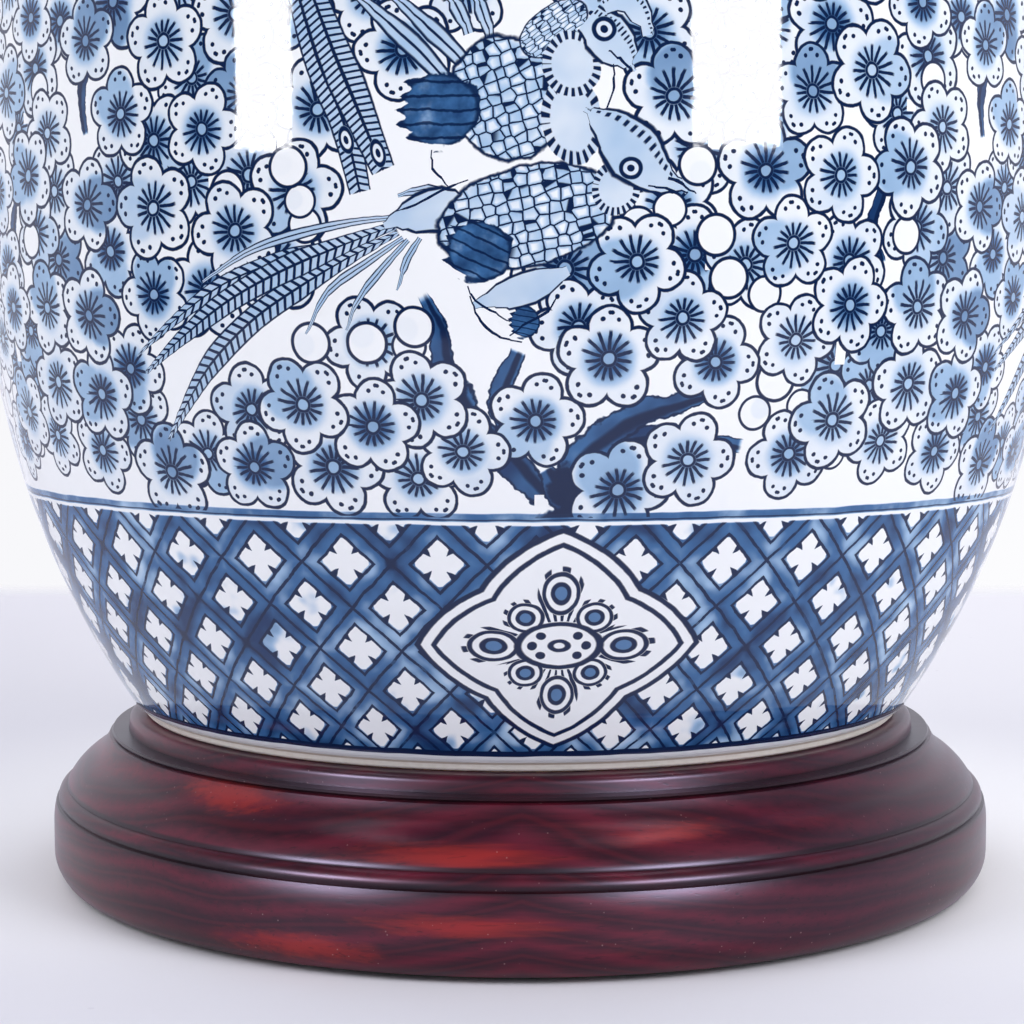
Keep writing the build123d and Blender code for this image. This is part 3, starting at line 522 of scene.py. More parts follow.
class Layer:
    """Up to a number of overlapping motifs for each face, the topmost first."""

    def __init__(self, slots, azimuth, length, radius):
        self.azimuth, self.length, self.radius = azimuth, length, radius
        self.data = np.zeros((slots, len(azimuth), 4, 3))
        self.used = np.zeros(len(azimuth), int)
        self.closed = np.zeros(len(azimuth), bool)

    def put(self, faces, u, v, code, covered=None):
        """Gives faces their next motif; those it covers take no more."""
        free = (self.used[faces] < len(self.data)) & ~self.closed[faces]
        kept = faces[free]
        self.data[self.used[kept], kept, :, 0] = u[free]
        self.data[self.used[kept], kept, :, 1] = v[free]
        self.data[self.used[kept], kept, :, 2] = code
        self.used[kept] += 1
        if covered is not None:
            self.closed[faces[covered]] = True

    def disc(self, azimuth, length, half_u, half_v, angle, code, margin, opaque=0.0):
        """An ellipse; margin is its reach in radii, and nothing shows below its opaque part."""
        dx = np.radians(turned_by(self.azimuth, azimuth)) * self.radius
        near = np.abs(dx).min(axis=1) < REACH
        near &= np.abs(self.length - length).min(axis=1) < REACH
        faces = np.nonzero(near)[0]
        x, y = dx[faces], self.length[faces] - length
        c, s = math.cos(math.radians(angle)), math.sin(math.radians(angle))
        u, v = (x * c + y * s) / half_u, (y * c - x * s) / half_v
        size = np.hypot(u, v)
        hit = np.hypot(nearest(u), nearest(v)) < margin
        covered = (size.max(axis=1) < opaque)[hit] if opaque else None
        self.put(faces[hit], u[hit], v[hit], code, covered)

    def ribbon(self, pixels, widths, code):
        """A strip along a curve: u runs from 0 to 1 along it, v from -1 to 1 across."""
        path = np.array([on_wall(*p) for p in pixels])
        middle = path[len(path) // 2]
        here = float(np.interp(middle[1], arc_s, wall_radius(arc_z)))
        metric = np.stack([np.radians(turned_by(path[:, 0], middle[0])) * here,
                           path[:, 1] - middle[1]], axis=1)
        curve = smooth_path(metric, 0.0007)
        size = np.hypot(*np.diff(curve, axis=0).T)
        run = np.concatenate([[0], np.cumsum(size)])
        share = run / run[-1]
        half = np.interp(share, np.linspace(0, 1, len(widths)), widths) / 1000
        dx = np.radians(turned_by(self.azimuth, middle[0])) * here
        dy = self.length - middle[1]
        pad = half.max() + 0.004
        near = (dx.max(axis=1) > curve[:, 0].min() - pad) & (dx.min(axis=1) < curve[:, 0].max() + pad)
        near &= np.ptp(dx, axis=1) < SLIVER
        near &= (dy.max(axis=1) > curve[:, 1].min() - pad) & (dy.min(axis=1) < curve[:, 1].max() + pad)
        faces = np.nonzero(near)[0]
        corners = np.stack([dx[faces], dy[faces]], axis=-1).reshape(-1, 2)
        gap = np.hypot(corners[:, None, 0] - curve[None, :, 0], corners[:, None, 1] - curve[None, :, 1])
        best = gap.argmin(axis=1)
        tangent = np.gradient(curve, axis=0)
        tangent /= np.hypot(tangent[:, 0], tangent[:, 1])[:, None]
        off = corners - curve[best]
        ahead = (off * tangent[best]).sum(axis=1)
        across = off[:, 1] * tangent[best, 0] - off[:, 0] * tangent[best, 1]
        u = ((run[best] + ahead) / run[-1]).reshape(-1, 4)
        v = (across / half[best]).reshape(-1, 4)
        hit = (nearest(v) < 1.15) & (u.max(axis=1) > -0.02) & (u.min(axis=1) < 1.02)
        self.put(faces[hit], u[hit], v[hit], code)


def paint_attributes(jar, wall_faces, azimuth, z):
    """Stores for each face of the wall which motifs lie on it, in their own coordinates."""
    length, radius = along_wall(z), wall_radius(z)
    low = Layer(LOW_SLOTS, azimuth, length, radius)
    for px, py, half_u, half_v in SPOTS_DARK:
        a, s = on_wall(px, py)
        low.disc(a, s, half_u / 1000, half_v / 1000, 0, LOOSE_SPOT, margin=1.5)
    for widths, pixels in BRANCHES:
        low.ribbon(pixels, widths, BRANCH)
    middle = Layer(FLOWER_SLOTS, azimuth, length, radius)
    for a, s, size, kind, seed in quarter_flowers:
        middle.disc(a, s, size, size, 0, kind + seed, margin=1.1, opaque=0.60 if kind == 1 else 0.8)
    high = Layer(HIGH_SLOTS, azimuth, length, radius)
    for motif in STROKES + EYES + HEADS + PATCHES + FEATHERS:
        if len(motif) == 4:
            kind, seed, widths, pixels = motif
            high.ribbon(pixels, widths, kind + seed)
        else:
            kind, seed, (px, py), half_u, half_v, angle = motif
            high.disc(*on_wall(px, py), half_u / 1000, half_v / 1000, angle, kind + seed, margin=1.15)
    total = len(jar.data.polygons)
    names = [f"low_{i}" for i in range(LOW_SLOTS)] + [f"flower_{i}" for i in range(FLOWER_SLOTS)]
    names += [f"high_{i}" for i in range(HIGH_SLOTS)]
    for name, values in zip(names, [*low.data, *middle.data, *high.data]):
        full = np.zeros((total, 4, 3))
        full[wall_faces] = values
        corner_attribute(jar, name, full)
    carries = np.concatenate([low.data, high.data])[..., 2].max(axis=(0, 2)) > 0.5
    near_line = (length.max(axis=1) > LINE_S - 0.0026) & (length.min(axis=1) < LINE_S + 0.0020)
    near_top = (length.max(axis=1) > TOP_MM / 1000 - 0.002) & (length.min(axis=1) < TOP_MM / 1000 + 0.002)
    outside = (length.max(axis=1) < LINE_S) | (length.min(axis=1) > TOP_MM / 1000)
    kinds = np.full(total, BAND, np.int32)
    field = np.where(carries, ALL, BLOSSOM)
    kinds[wall_faces] = np.where(near_line | near_top, ALL, np.where(outside, BAND, field))
    jar.data.polygons.foreach_set("material_index", kinds)
    cell_a, cell_s = on_wall(*CELL_PIXEL)
    cell_h = cell_s - on_wall(*CELL_BELOW_PIXEL)[1]
    full = np.zeros((total, 4, 3))
    full[:, :, 2] = -1
    full[wall_faces, :, 0] = (azimuth - cell_a) / CELL_DEG
    full[wall_faces, :, 1] = (length - cell_s) / cell_h
    full[wall_faces, :, 2] = length * 1000
    corner_attribute(jar, "wall", full)
    medal_a = on_wall(PANEL_PX, PANEL_PY)[0]
    high_s, low_s = on_wall(PANEL_PX, PANEL_TOP_PY)[1], on_wall(PANEL_PX, PANEL_FOOT_PY)[1]
    half_s = (high_s - low_s) / 2
    full = np.zeros((total, 4, 3))
    turn = turned_by(azimuth, medal_a) / (on_wall(PANEL_RIGHT_PX, PANEL_PY)[0] - medal_a)
    turn[np.ptp(turn, axis=1) > 1] = 9           # faces at the wrap lie outside the panel
    full[wall_faces, :, 0] = turn
    full[wall_faces, :, 1] = (length - (high_s + low_s) / 2) / half_s
    corner_attribute(jar, "medal", full)


LATTICE_CELLS = 38
CELL_DEG = 360 / LATTICE_CELLS
TOP_MM = TOP_S * 1000 + 8.0          # a line here starts the lattice under the neck
NECK_MM = float(along_wall(SHOULDER_Z - 0.003)) * 1000
BASE_MM = on_wall(JAR_COLUMN, BASE_LINE_PY)[1] * 1000
BAND, BLOSSOM, ALL = 0, 1, 2          # what a face of the wall can carry


def build_jar():
    outer = list(zip(wall_r, wall_z))
    neck_in = NECK_R - JAR_WALL
    recess_z = FOOT_Z + 0.005          # underside of the jar's floor, inside the foot ring
    floor_z = recess_z + 0.006
    upper = np.sin(np.linspace(0, 1, 22)[1:] * math.pi / 2)
    inner_z = np.concatenate([np.linspace(floor_z + 0.008, BELLY_Z, 18),
                              BELLY_Z + (SHOULDER_Z - 0.007 - BELLY_Z) * upper])
    inner = [(max(float(wall_radius(z * 1.0)) - JAR_WALL * 1.15, neck_in), z) for z in inner_z]
    lip_r, lip_bulge = 0.0015, 0.00045
    top = outline((NECK_FOOT_R, SHOULDER_Z), (NECK_R, SHOULDER_Z + 0.003, -0.0007), (NECK_R, LIP_Z - lip_r),
                  (NECK_R - lip_r, LIP_Z, lip_bulge), (neck_in + lip_r, LIP_Z),
                  (neck_in, LIP_Z - lip_r, lip_bulge), (neck_in, SHOULDER_Z - 0.002))
    foot = outline((inner[0][0] - 0.008, floor_z), (JAR_HOLE_R, floor_z), (JAR_HOLE_R, recess_z),
                   (FOOT_IN_R - 0.002, recess_z), (FOOT_IN_R, FOOT_Z), (FOOT_R - 0.0006, FOOT_Z),
                   (FOOT_R, FOOT_Z + 0.0006), (FOOT_R, FOOT_Z + FOOT_BAND),
                   (FOOT_R + 0.0009, FOOT_Z + FOOT_BAND + 0.0001))
    points = outer[:-1] + top + inner[::-1] + foot
    count = len(outer) - 1
    steps = np.hypot(*(np.roll(np.array(points), -1, axis=0) - np.array(points)).T)
    steps[count:] *= 0.3          # the unpainted faces need less of the map
    marks = np.concatenate([[0], np.cumsum(steps)]) / steps.sum()
    jar = lathe("jar_porcelain", points, COLUMNS, marks)
    rows = np.arange(count - 1)
    i, j = np.meshgrid(rows, np.arange(COLUMNS), indexing="ij")
    i, j = i.ravel(), j.ravel()
    azimuth = np.stack([j, j + 1, j + 1, j], axis=1) * 360 / COLUMNS
    z = np.stack([wall_z[i], wall_z[i], wall_z[i + 1], wall_z[i + 1]], axis=1)
    paint_attributes(jar, i * COLUMNS + j, azimuth, z)
    return jar


# ==================== jar: how the painting looks
def group(name, makes):
    """A node group with inputs Motif, Wobble, Tone, Ink and outputs Tone, Ink."""
    tree = bpy.data.node_groups.new(name, "ShaderNodeTree")
    for label, kind in (("Motif", "NodeSocketVector"), ("Wobble", "NodeSocketVector"),
                        ("Tone", "NodeSocketFloat"), ("Ink", "NodeSocketFloat")):
        tree.interface.new_socket(label, in_out="INPUT", socket_type=kind)
    for label in ("Tone", "Ink"):
        tree.interface.new_socket(label, in_out="OUTPUT", socket_type="NodeSocketFloat")
    before, Val.tree = Val.tree, tree
    entry = node("NodeGroupInput")
    motif, wobble, tone, ink = [Val(o) for o in entry.outputs[:4]]
    # the tiny share of what lies below makes the groups run one after another
    after = node("ShaderNodeVectorMath", operation="ADD")
    feed(after.inputs[0], motif)
    feed(after.inputs[1], join(tone * 1e-7, ink * 1e-7, 0.0))
    tone, ink = makes(Val(after.outputs[0]), wobble, tone, ink)
    leave = node("NodeGroupOutput")
    feed(leave.inputs[0], tone)
    feed(leave.inputs[1], ink)
    Val.tree = before
    return tree


def use(tree, motif, wobble, tone, ink):
    made = node("ShaderNodeGroup", node_tree=tree)
    for socket, value in zip(made.inputs, (motif, wobble, tone, ink)):
        feed(socket, value)
    return Val(made.outputs[0]), Val(made.outputs[1])


def flower_look(motif, wobble, tone, ink):
    """Five-petalled blossom (kind 1) or bud (kind 2), radius 1."""
    u, v, code = split(motif)
    wx, wy, wz = split(wobble)
    u = u + (wx - 0.5) * 0.09
    v = v + (wy - 0.5) * 0.09
    there = code > 0.5
    bud = code > 1.999
    seed = part_of(code)
    r = reach(u, v)
    turn = calc("ARCTAN2", v, u) + seed * 31.0
    count, petal_at, petal_r, heart_r, bud_r, spokes = 5, 0.585, 0.415, 0.55, 0.95, 15.0
    fold = absolute(part_of(turn * (count / (2 * math.pi))) - 0.5) * (2 * math.pi / count)
    px, py = r * cosine(fold), r * sine(fold)
    petal = least(reach(px - petal_at, py) - petal_r, r - heart_r)
    shape = lerp(petal, (r - bud_r) * 0.42, bud)
    cover = inside(shape, 0.02) * there
    edge = line(shape, 0.031) * there
    spoke_turn = turn * (spokes / (2 * math.pi))
    jitter = sine(whole(spoke_turn) * 12.9 + seed * 40.0)
    off = absolute(part_of(spoke_turn) - 0.5) * (2 * math.pi / spokes) * r
    far = 0.47 + jitter * 0.07
    spoke = ramp(off, 0.042, 0.020) * ramp(r, far + 0.04, far - 0.04) * ramp(r, 0.15, 0.19)
    eye = line(r - 0.135, 0.026)
    dots = most(ramp(reach(px - 0.74, py - 0.15), 0.054, 0.034),
                ramp(reach(px - 0.86, py - 0.02), 0.048, 0.030))
    side = ramp(reach(u - sine(seed * 90.0) * 0.42, v - cosine(seed * 90.0) * 0.42), 0.72, 0.50)
    blot = side * ramp(part_of(seed * 7.3), 0.30, 0.60) * (0.14 + 0.24 * part_of(seed * 13.7))
    core = ramp(r, 0.66, 0.20) * (0.22 + 0.30 * part_of(seed * 5.1)) * ramp(r, 0.10, 0.16, 0.6, 1.0)
    petals = least(most(blot, core) + 0.02 + 0.18 * wz, 1.0)
    plain = 1.0 - bud
    drawn = most(spoke, eye, dots) * plain
    tone = lerp(tone, lerp(0.03 + blot * 0.2, petals, plain), cover)
    return tone, most(lerp(ink, drawn * 0.92, cover), edge * 0.95)


def high_look(motif, wobble, tone, ink):
    """Ink strokes, feathers and the birds' parts."""
    u, v, code = split(motif)
    wx, wy, wz = split(wobble)
    kind = whole(code + 0.0001)
    seed = part_of(code)

    def is_kind(number):
        return inside(absolute(kind - float(number)) - 0.5, 0.01)

    stroke, barbed, scaled, wing, eye, soft, plume, leaf = [is_kind(number) for number in range(1, 9)]
    ribbon = most(stroke, barbed, plume, leaf)
    wave = (wx - 0.5) * 0.3
    run_in = least(ramp(u, -0.004, 0.004), ramp(u, 1.004, 0.996))
    across = absolute(v)
    r = reach(u + (wx - 0.5) * 0.2, v + (wy - 0.5) * 0.2)
    ribbon_cover = run_in * ramp(across + wave * 0.4, 1.03, 0.92) * ribbon
    streak = absolute(part_of(v * 2.6 + u * 0.5 + wave * 2.0) - 0.5)
    ragged = r + wing * (0.5 * (0.25 - streak) * ramp(u, 0.4, -0.4) + (wy - 0.5) * 0.5)
    disc_cover = ramp(ragged, 1.03, 0.97) * (1.0 - ribbon) * (kind > 0.5)
    cover = most(ribbon_cover, disc_cover)
    # feather: slanted barbs either side of a shaft
    barb = part_of(u * (seed * 120.0) - across * 0.75 + wave)
    feather_ink = most(ramp(absolute(barb - 0.5), 0.22, 0.10), ramp(across, 0.13, 0.05),
                       ramp(across, 0.82, 0.94))
    beads = ramp(absolute(part_of(u * 15.0) - 0.5), 0.26, 0.12) * line(v - 0.56, 0.13) * (seed > 0.45)
    leaf_ink = most(ramp(across, 0.80, 0.87), beads)
    plume_ink = most(ramp(across, 0.62, 0.85), ramp(across, 0.16, 0.06))
    # scales: rounded cells in rows
    grain = join(u * (3.2 + seed * 5.6) + wave, v * (6.0 - seed * 2.2) + wave, 0.5)
    gap = cells(grain, 1.0, "DISTANCE_TO_EDGE", randomness=0.42)
    scale_ink = most(ramp(gap, 0.085, 0.040), ramp(r, 0.94, 0.98))
    # wing: dark overlapping feathers
    wing_ink = 0.08 + 0.6 * ramp(streak, 0.36, 0.46) + 0.9 * (wy - 0.5) + ramp(r, 0.86, 0.98) * 0.6
    # eye: ring and dot
    eye_ink = most(line(r - 0.80, 0.15), ramp(r, 0.34, 0.26))
    # soft parts: pale, with short dark ticks inside the edge
    angle = calc("ARCTAN2", v, u)
    tick = part_of(angle * 3.6)
    soft_ink = ramp(absolute(tick - 0.5), 0.30, 0.16) * ramp(r, 0.70, 0.76) * ramp(r, 1.02, 0.99)
    feather = leaf * leaf_ink * 0.9 + barbed * feather_ink + plume * plume_ink * 0.85 + stroke * 0.95
    drawn = feather + scaled * scale_ink * 0.95 + wing * wing_ink + eye * eye_ink + soft * soft_ink * 0.9
    shade = barbed * 0.26 + plume * 0.24 + stroke * 1.0
    shade = shade + scaled * (0.10 + 0.22 * (1.0 - ramp(gap, 0.06, 0.36)))
    shade = shade + wing * (0.66 + (wx - 0.5) * 0.8) + eye * ramp(r, 0.72, 0.60, 0.4, 0.15)
    shade = shade + soft * 0.20 + leaf * 0.22 + (wz - 0.5) * 0.25
    return lerp(tone, shade, cover), lerp(ink, least(drawn, 1.0), cover)


def branch_look(motif, wobble, tone, ink):
    """Brushed wood: broad dark wash with ragged sides; kind 4 is a loose dark spot."""
    u, v, code = split(motif)
    wx, wy, wz = split(wobble)
    spot = code > 3.5
    there = code > 0.5
    run_in = least(ramp(u, -0.02, 0.02), ramp(u, 1.02, 0.97))
    ragged = (wx - 0.5) * 1.4 + (wy - 0.5) * 0.6
    edge = absolute(v) + ragged
    ribbon_cover = run_in * ramp(edge, 1.06, 0.9)
    spot_cover = ramp(reach(u, v) + ragged * 0.8, 1.05, 0.75)
    cover = lerp(ribbon_cover, spot_cover, spot) * there
    shade = 0.74 + (wz - 0.5) * 1.0
    rim = ramp(edge, 0.72, 0.92) * 0.8
    core = ramp(absolute(v + 0.3 + (wz - 0.5)), 0.50, 0.12) * 0.8
    dark = most(rim, core, spot * 0.85)
    return lerp(tone, shade, cover), lerp(ink, dark, cover)


NOTCH = 0.160          # how far from a window's middle its side notches start, in cells


def lattice_look(wall, medal, wobble):
    """Crossed strips with a notched white cell in each diamond, and the leaf-shaped panel."""
    p, q, _ = split(wall)
    wx, wy, wz = split(wobble)
    p = p + (wx - 0.5) * 0.05
    q = q + (wy - 0.5) * 0.05
    a = absolute(part_of(p + q + 0.5) - 0.5)
    b = absolute(part_of(p - q + 0.5) - 0.5)
    rim = most(a, b)
    slip_a = absolute(part_of(p + q + 0.485) - 0.5)
    slip_b = absolute(part_of(p - q + 0.515) - 0.5)

    def notched(long_way, short_way):
        return ramp(short_way - (long_way - NOTCH) * 0.40, 0.010, -0.010) * (long_way > NOTCH)

    notch = most(notched(slip_a, slip_b), notched(slip_b, slip_a))
    rounded = ramp(reach(slip_a, slip_b), 0.372, 0.350)
    white = inside(most(slip_a, slip_b) - 0.280, 0.010) * (1.0 - notch) * rounded
    frame_line = line(rim - 0.305, 0.020)
    middle = least(0.5 - a, 0.5 - b)
    cross_line = ramp(middle, 0.028, 0.016)
    crossing = ramp(a + b, 0.84, 0.94) * ramp(wz, 0.50, 0.60)
    strip = 0.58 + (wz - 0.5) * 1.5 + ramp(rim, 0.36, 0.50) * 0.14
    tone = lerp(strip, 0.02 + ramp(wz, 0.60, 0.74) * 0.4, white)
    ink = most(frame_line, cross_line * 0.85, notch * inside(rim - 0.31, 0.01) * 0.85, crossing * 0.6)
    ink = ink * lerp(1.0, ramp(wx, 0.34, 0.42, 0.35, 1.0), cross_line)
    # panel
    x, y, _ = split(medal)
    x = x + (wx - 0.5) * 0.02
    y = y + (wy - 0.5) * 0.02
    ax, ay = absolute(x), absolute(y)
    shape = least(reach(ax, ay + 0.469) - 1.1045, reach(ax + 0.4425, ay) - 1.0935)
    panel = inside(shape, 0.012)
    panel_ink = line(shape + 0.105, 0.017)

    def leaf(cx, cy, hx, hy):
        return reach((ax - cx) / hx, (ay - cy) / hy)

    heart = leaf(0.0, 0.0, 0.29, 0.20)
    leaves = [leaf(0.46, 0.0, 0.165, 0.13), leaf(0.0, 0.47, 0.115, 0.17), leaf(0.235, 0.255, 0.115, 0.12)]
    for one in leaves:
        panel_ink = most(panel_ink, line(one - 1.0, 0.10) * (heart > 0.98),
                         line(one - 0.48, 0.11) * (heart > 1.0))
    near = least(heart, *leaves)
    spikes = ramp(sine(calc("ARCTAN2", y, x) * 34.0) + (wz - 0.5) * 2.0, 0.1, 0.5)
    panel_ink = most(
        panel_ink, line(heart - 1.0, 0.085), line(leaf(0.0, 0.0, 0.075, 0.055) - 0.8, 0.26),
        ramp(leaf(0.13, 0.09, 0.035, 0.035), 1.1, 0.8), ramp(leaf(0.19, 0.0, 0.035, 0.04), 1.1, 0.8),
        spikes * ramp(near, 1.10, 1.18) * ramp(near, 1.42, 1.30))
    within = ramp(near, 0.50, 0.40) * (heart > 1.0)
    tone = lerp(tone, 0.03 + within * 0.5, panel)
    ink = lerp(ink, least(panel_ink, 1.0), panel)
    return tone, most(ink, line(shape, 0.018))


def porcelain_colours(tone, ink):
    white = srgb(246, 248, 252)
    colour = tint(white, srgb(162, 193, 226), ramp(tone, 0.0, 0.34))
    colour = tint(colour, srgb(58, 104, 156), ramp(tone, 0.26, 0.62))
    colour = tint(colour, srgb(24, 54, 100), ramp(tone, 0.56, 0.95))
    bare = 1.0 - ink
    return tint(colour, srgb(14, 34, 72), 1.0 - bare * bare * bare)


GLAZE_ROUGHNESS, GLAZE_BUMP_MM = 0.045, 0.022


def glaze(colour, roughness, bump):
    surface(colour, roughness, bump, GLAZE_BUMP_MM, IOR=1.46)


def jar_material(name, flowers, birds, band):
    """The wall's glaze; the flags say which kinds of painting the faces with it can carry."""
    made, where = material(name)
    wobble = noise(where, 240.0, 3.0, 0.55, 0.0, True)
    broad_x, broad_y, broad_z = split(noise(where, 90.0, 2.0, 0.5, 0.0, True))
    fine_x, fine_y, _ = split(wobble)
    wash = join(fine_x, fine_y, broad_z)
    tone = ramp(broad_x, 0.62, 0.80) * 0.05
    ink = tone * 0.0001
    if birds:
        for i in reversed(range(LOW_SLOTS)):
            tone, ink = use(LOOKS["branch"], attribute(f"low_{i}"), wash, tone, ink)
    if flowers:
        for i in reversed(range(FLOWER_SLOTS)):
            tone, ink = use(LOOKS["flower"], attribute(f"flower_{i}"), wash, tone, ink)
    if birds:
        for i in reversed(range(HIGH_SLOTS)):
            tone, ink = use(LOOKS["bird"], attribute(f"high_{i}"), wash, tone, ink)
    wall = attribute("wall")
    _, _, length = split(wall)
    wavy = length + (broad_y - 0.5) * 0.8
    line_mm = LINE_S * 1000
    if band:
        band_tone, band_ink = lattice_look(wall, attribute("medal"), wash)
        in_band = ramp(wavy, line_mm - 1.3, line_mm - 1.7)
        crown = ramp(length, TOP_MM - 0.2, TOP_MM + 0.2)
        banded = most(in_band, crown)
        tone, ink = lerp(tone, band_tone, banded), lerp(ink, band_ink, banded)
    below = ramp(absolute(wavy - line_mm), 1.9, 1.5) * (wavy < line_mm)
    tone, ink = lerp(tone, 0.04, below), lerp(ink, 0.0, below)
    stripe = ramp(absolute(wavy - line_mm), 1.05, 0.70)
    tone = lerp(tone, 0.52 + (broad_z - 0.5) * 0.8 + (fine_x - 0.5) * 0.4, stripe)
    ink = lerp(ink, most(line(wavy - line_mm + 0.5, 0.16) * 0.5, ink * 0.8), stripe)
    if band:
        foot = ramp(wavy, BASE_MM + 0.5, BASE_MM + 0.3)
        tone, ink = lerp(tone, 0.05, foot), lerp(ink, 0.0, foot)
        navy = ramp(absolute(wavy - BASE_MM), 0.85, 0.6)
        tone, ink = lerp(tone, 0.9, navy), lerp(ink, 0.75, navy)
        for low, wide in ((TOP_MM, 0.9), (NECK_MM, 1.2)):
            ring = ramp(absolute(length - low), wide, wide * 0.75)
            tone, ink = lerp(tone, 0.7, ring), lerp(ink, 0.35, ring)
        unpainted = ramp(length, 0.2, 0.0)
        tone, ink = lerp(tone, 0.0, unpainted), lerp(ink, 0.0, unpainted)
    colour = porcelain_colours(least(most(tone, 0.0), 1.0), least(most(ink, 0.0), 1.0))
    rough = GLAZE_ROUGHNESS
    if band:
        _, _, z = split(where)
        glaze_end = FOOT_Z + FOOT_BAND - 0.0002
        bare = ramp(z, glaze_end + 0.0002, glaze_end) * ramp(z, 0.030, 0.031)
        clay = tint(srgb(254, 250, 244), srgb(240, 232, 220), noise(where, 700.0, 3.0))
        colour = tint(colour, clay, bare)
        pool = ramp(absolute(z - glaze_end), 0.0004, 0.0001)
        colour = tint(colour, srgb(150, 118, 90), pool * 0.6)
        rough = lerp(GLAZE_ROUGHNESS, 0.6, bare)
    ripple = noise(where, 260.0, 2.0, 0.5) * 0.7 + fine_x * 0.3
    glaze(colour, rough, ripple)
    return made


# ==================== wood base
def build_base():
    steps = [(CAVITY_R, FELT_H), (BASE_R - BASE_EDGE, FELT_H)]
    for out, up, bulge in MOULDING:
        steps.append((LEDGE_R + out * (BASE_R - LEDGE_R), FELT_H + up * (LEDGE_Z - FELT_H), bulge / 1000))
    steps += [(LEDGE_R - 0.0003, LEDGE_Z), (RIM_R + 0.0002, LEDGE_Z), (RIM_R, BASE_H - RIM_ROUND),
              (RIM_R - RIM_ROUND, BASE_H, 0.0005), (RECESS_R, BASE_H), (RECESS_R, SEAT_Z),
              (WOOD_HOLE_R, SEAT_Z), (WOOD_HOLE_R, WEB_Z), (CAVITY_R, WEB_Z)]
    base = lathe("base_mahogany", spaced(outline(*steps), 0.0022), columns=288)
    sharpen(base, 38)
    return base


# painted warm highlights on the front of the base, where the red wood seems to glow: x, height and
# half-sizes, metres
PAINTED_GLOW_SPOTS = [(-0.063, 0.0325, 0.012, 0.0035), (-0.012, 0.0255, 0.026, 0.0030),
              (-0.010, 0.0125, 0.024, 0.0030), (-0.045, 0.0060, 0.016, 0.0030),
              (0.030, 0.0290, 0.018, 0.0025)]


# grooves where painted shade goes
WOOD_GROOVES = [(LEDGE_Z - 0.0004, 0.0007), (0.0197, 0.0009), (0.0232, 0.0005)]      # height, half-width


def wood_material():
    """Dark red stained mahogany, grain along X, under a satin lacquer."""
    made, where = material("mahogany_satin")
    x, y, z = split(where)
    bend = noise(join(x * 0.3, y, z), 22.0, 2.0, 0.5)
    ring = reach(y * 0.55 + 0.012, z * 1.6 + 0.05) * 120.0 + bend * 2.2 + absolute(x) * 40.0
    grain = absolute(part_of(ring) - 0.5) * 2.0
    fibre = noise(join(x * 5.0, y * 60.0, z * 110.0), 9.0, 4.0, 0.6)
    pores = ramp(noise(join(x * 40.0, y * 420.0, z * 420.0), 3.0, 2.0, 0.6), 0.60, 0.74)
    cloud = noise(join(x * 0.30, y * 0.8, z * 2.2), 26.0, 3.0, 0.6)
    colour = tint(srgb(40, 6, 19), srgb(92, 13, 34), ramp(grain * 0.45 + fibre * 0.45, 0.22, 0.80))
    ragged = (cloud - 0.5) * 2.2 + (fibre - 0.5) * 1.4
    tone_and_painted_glow = ramp(cloud + (fibre - 0.5) * 0.18, 0.60, 0.76) * 0.35
    # the listed spots are painted highlights, on the front only; the cloud-shaped warm patches all round are
    # the wood's own tone
    for px, pz, wide, high in PAINTED_GLOW_SPOTS:
        spot = reach((x - px) / wide, (z - pz) / high) + ragged
        tone_and_painted_glow = most(tone_and_painted_glow, ramp(spot, 1.2, 0.1) * (y < 0.0))
    # the grooves and the gap under the rim are painted dark: painted shade
    groove_painted_shade = most(*[ramp(absolute(z - level), width * 1.6, width * 0.5) for level, width in WOOD_GROOVES])
    specks = ramp(cells(where, 480.0), 0.10, 0.06) * ramp(noise(where, 60.0), 0.5, 0.6)
    colour = washed(
        colour,
        # warm wash: the wood's own lighter tone, with painted highlights at the listed spots
        ((158, 38, 28), tone_and_painted_glow * 0.7),
        ((30, 5, 16), ramp(cloud, 0.46, 0.30) * 0.55),
        ((118, 20, 36), ramp(grain, 0.24, 0.02) * 0.22),
        # the right side of the base painted darker and bluer: painted shade
        ((42, 12, 32), ramp(x, 0.020, 0.085) * 0.55),
        ((20, 5, 8), pores * 0.5),
        # painted shade in the grooves
        ((14, 4, 7), groove_painted_shade * 0.8 * (z > FELT_H)),
        ((170, 140, 140), specks * 0.35))
    surface(colour, lerp(0.30, 0.36, fibre), fibre * 0.4 + pores * -0.4, 0.02,
            IOR=1.36, Specular_Tint=srgb(236, 226, 255),
            Sheen_Weight=0.14, Sheen_Roughness=0.22, Sheen_Tint=srgb(206, 198, 245),
            Coat_Weight=0.4, Coat_IOR=1.28, Coat_Roughness=0.42)
    return made


# ==================== lid
LID_FLOWER_R, LID_FLOWER_GAP, LID_TRIES = 0.0088, 0.0122, 500


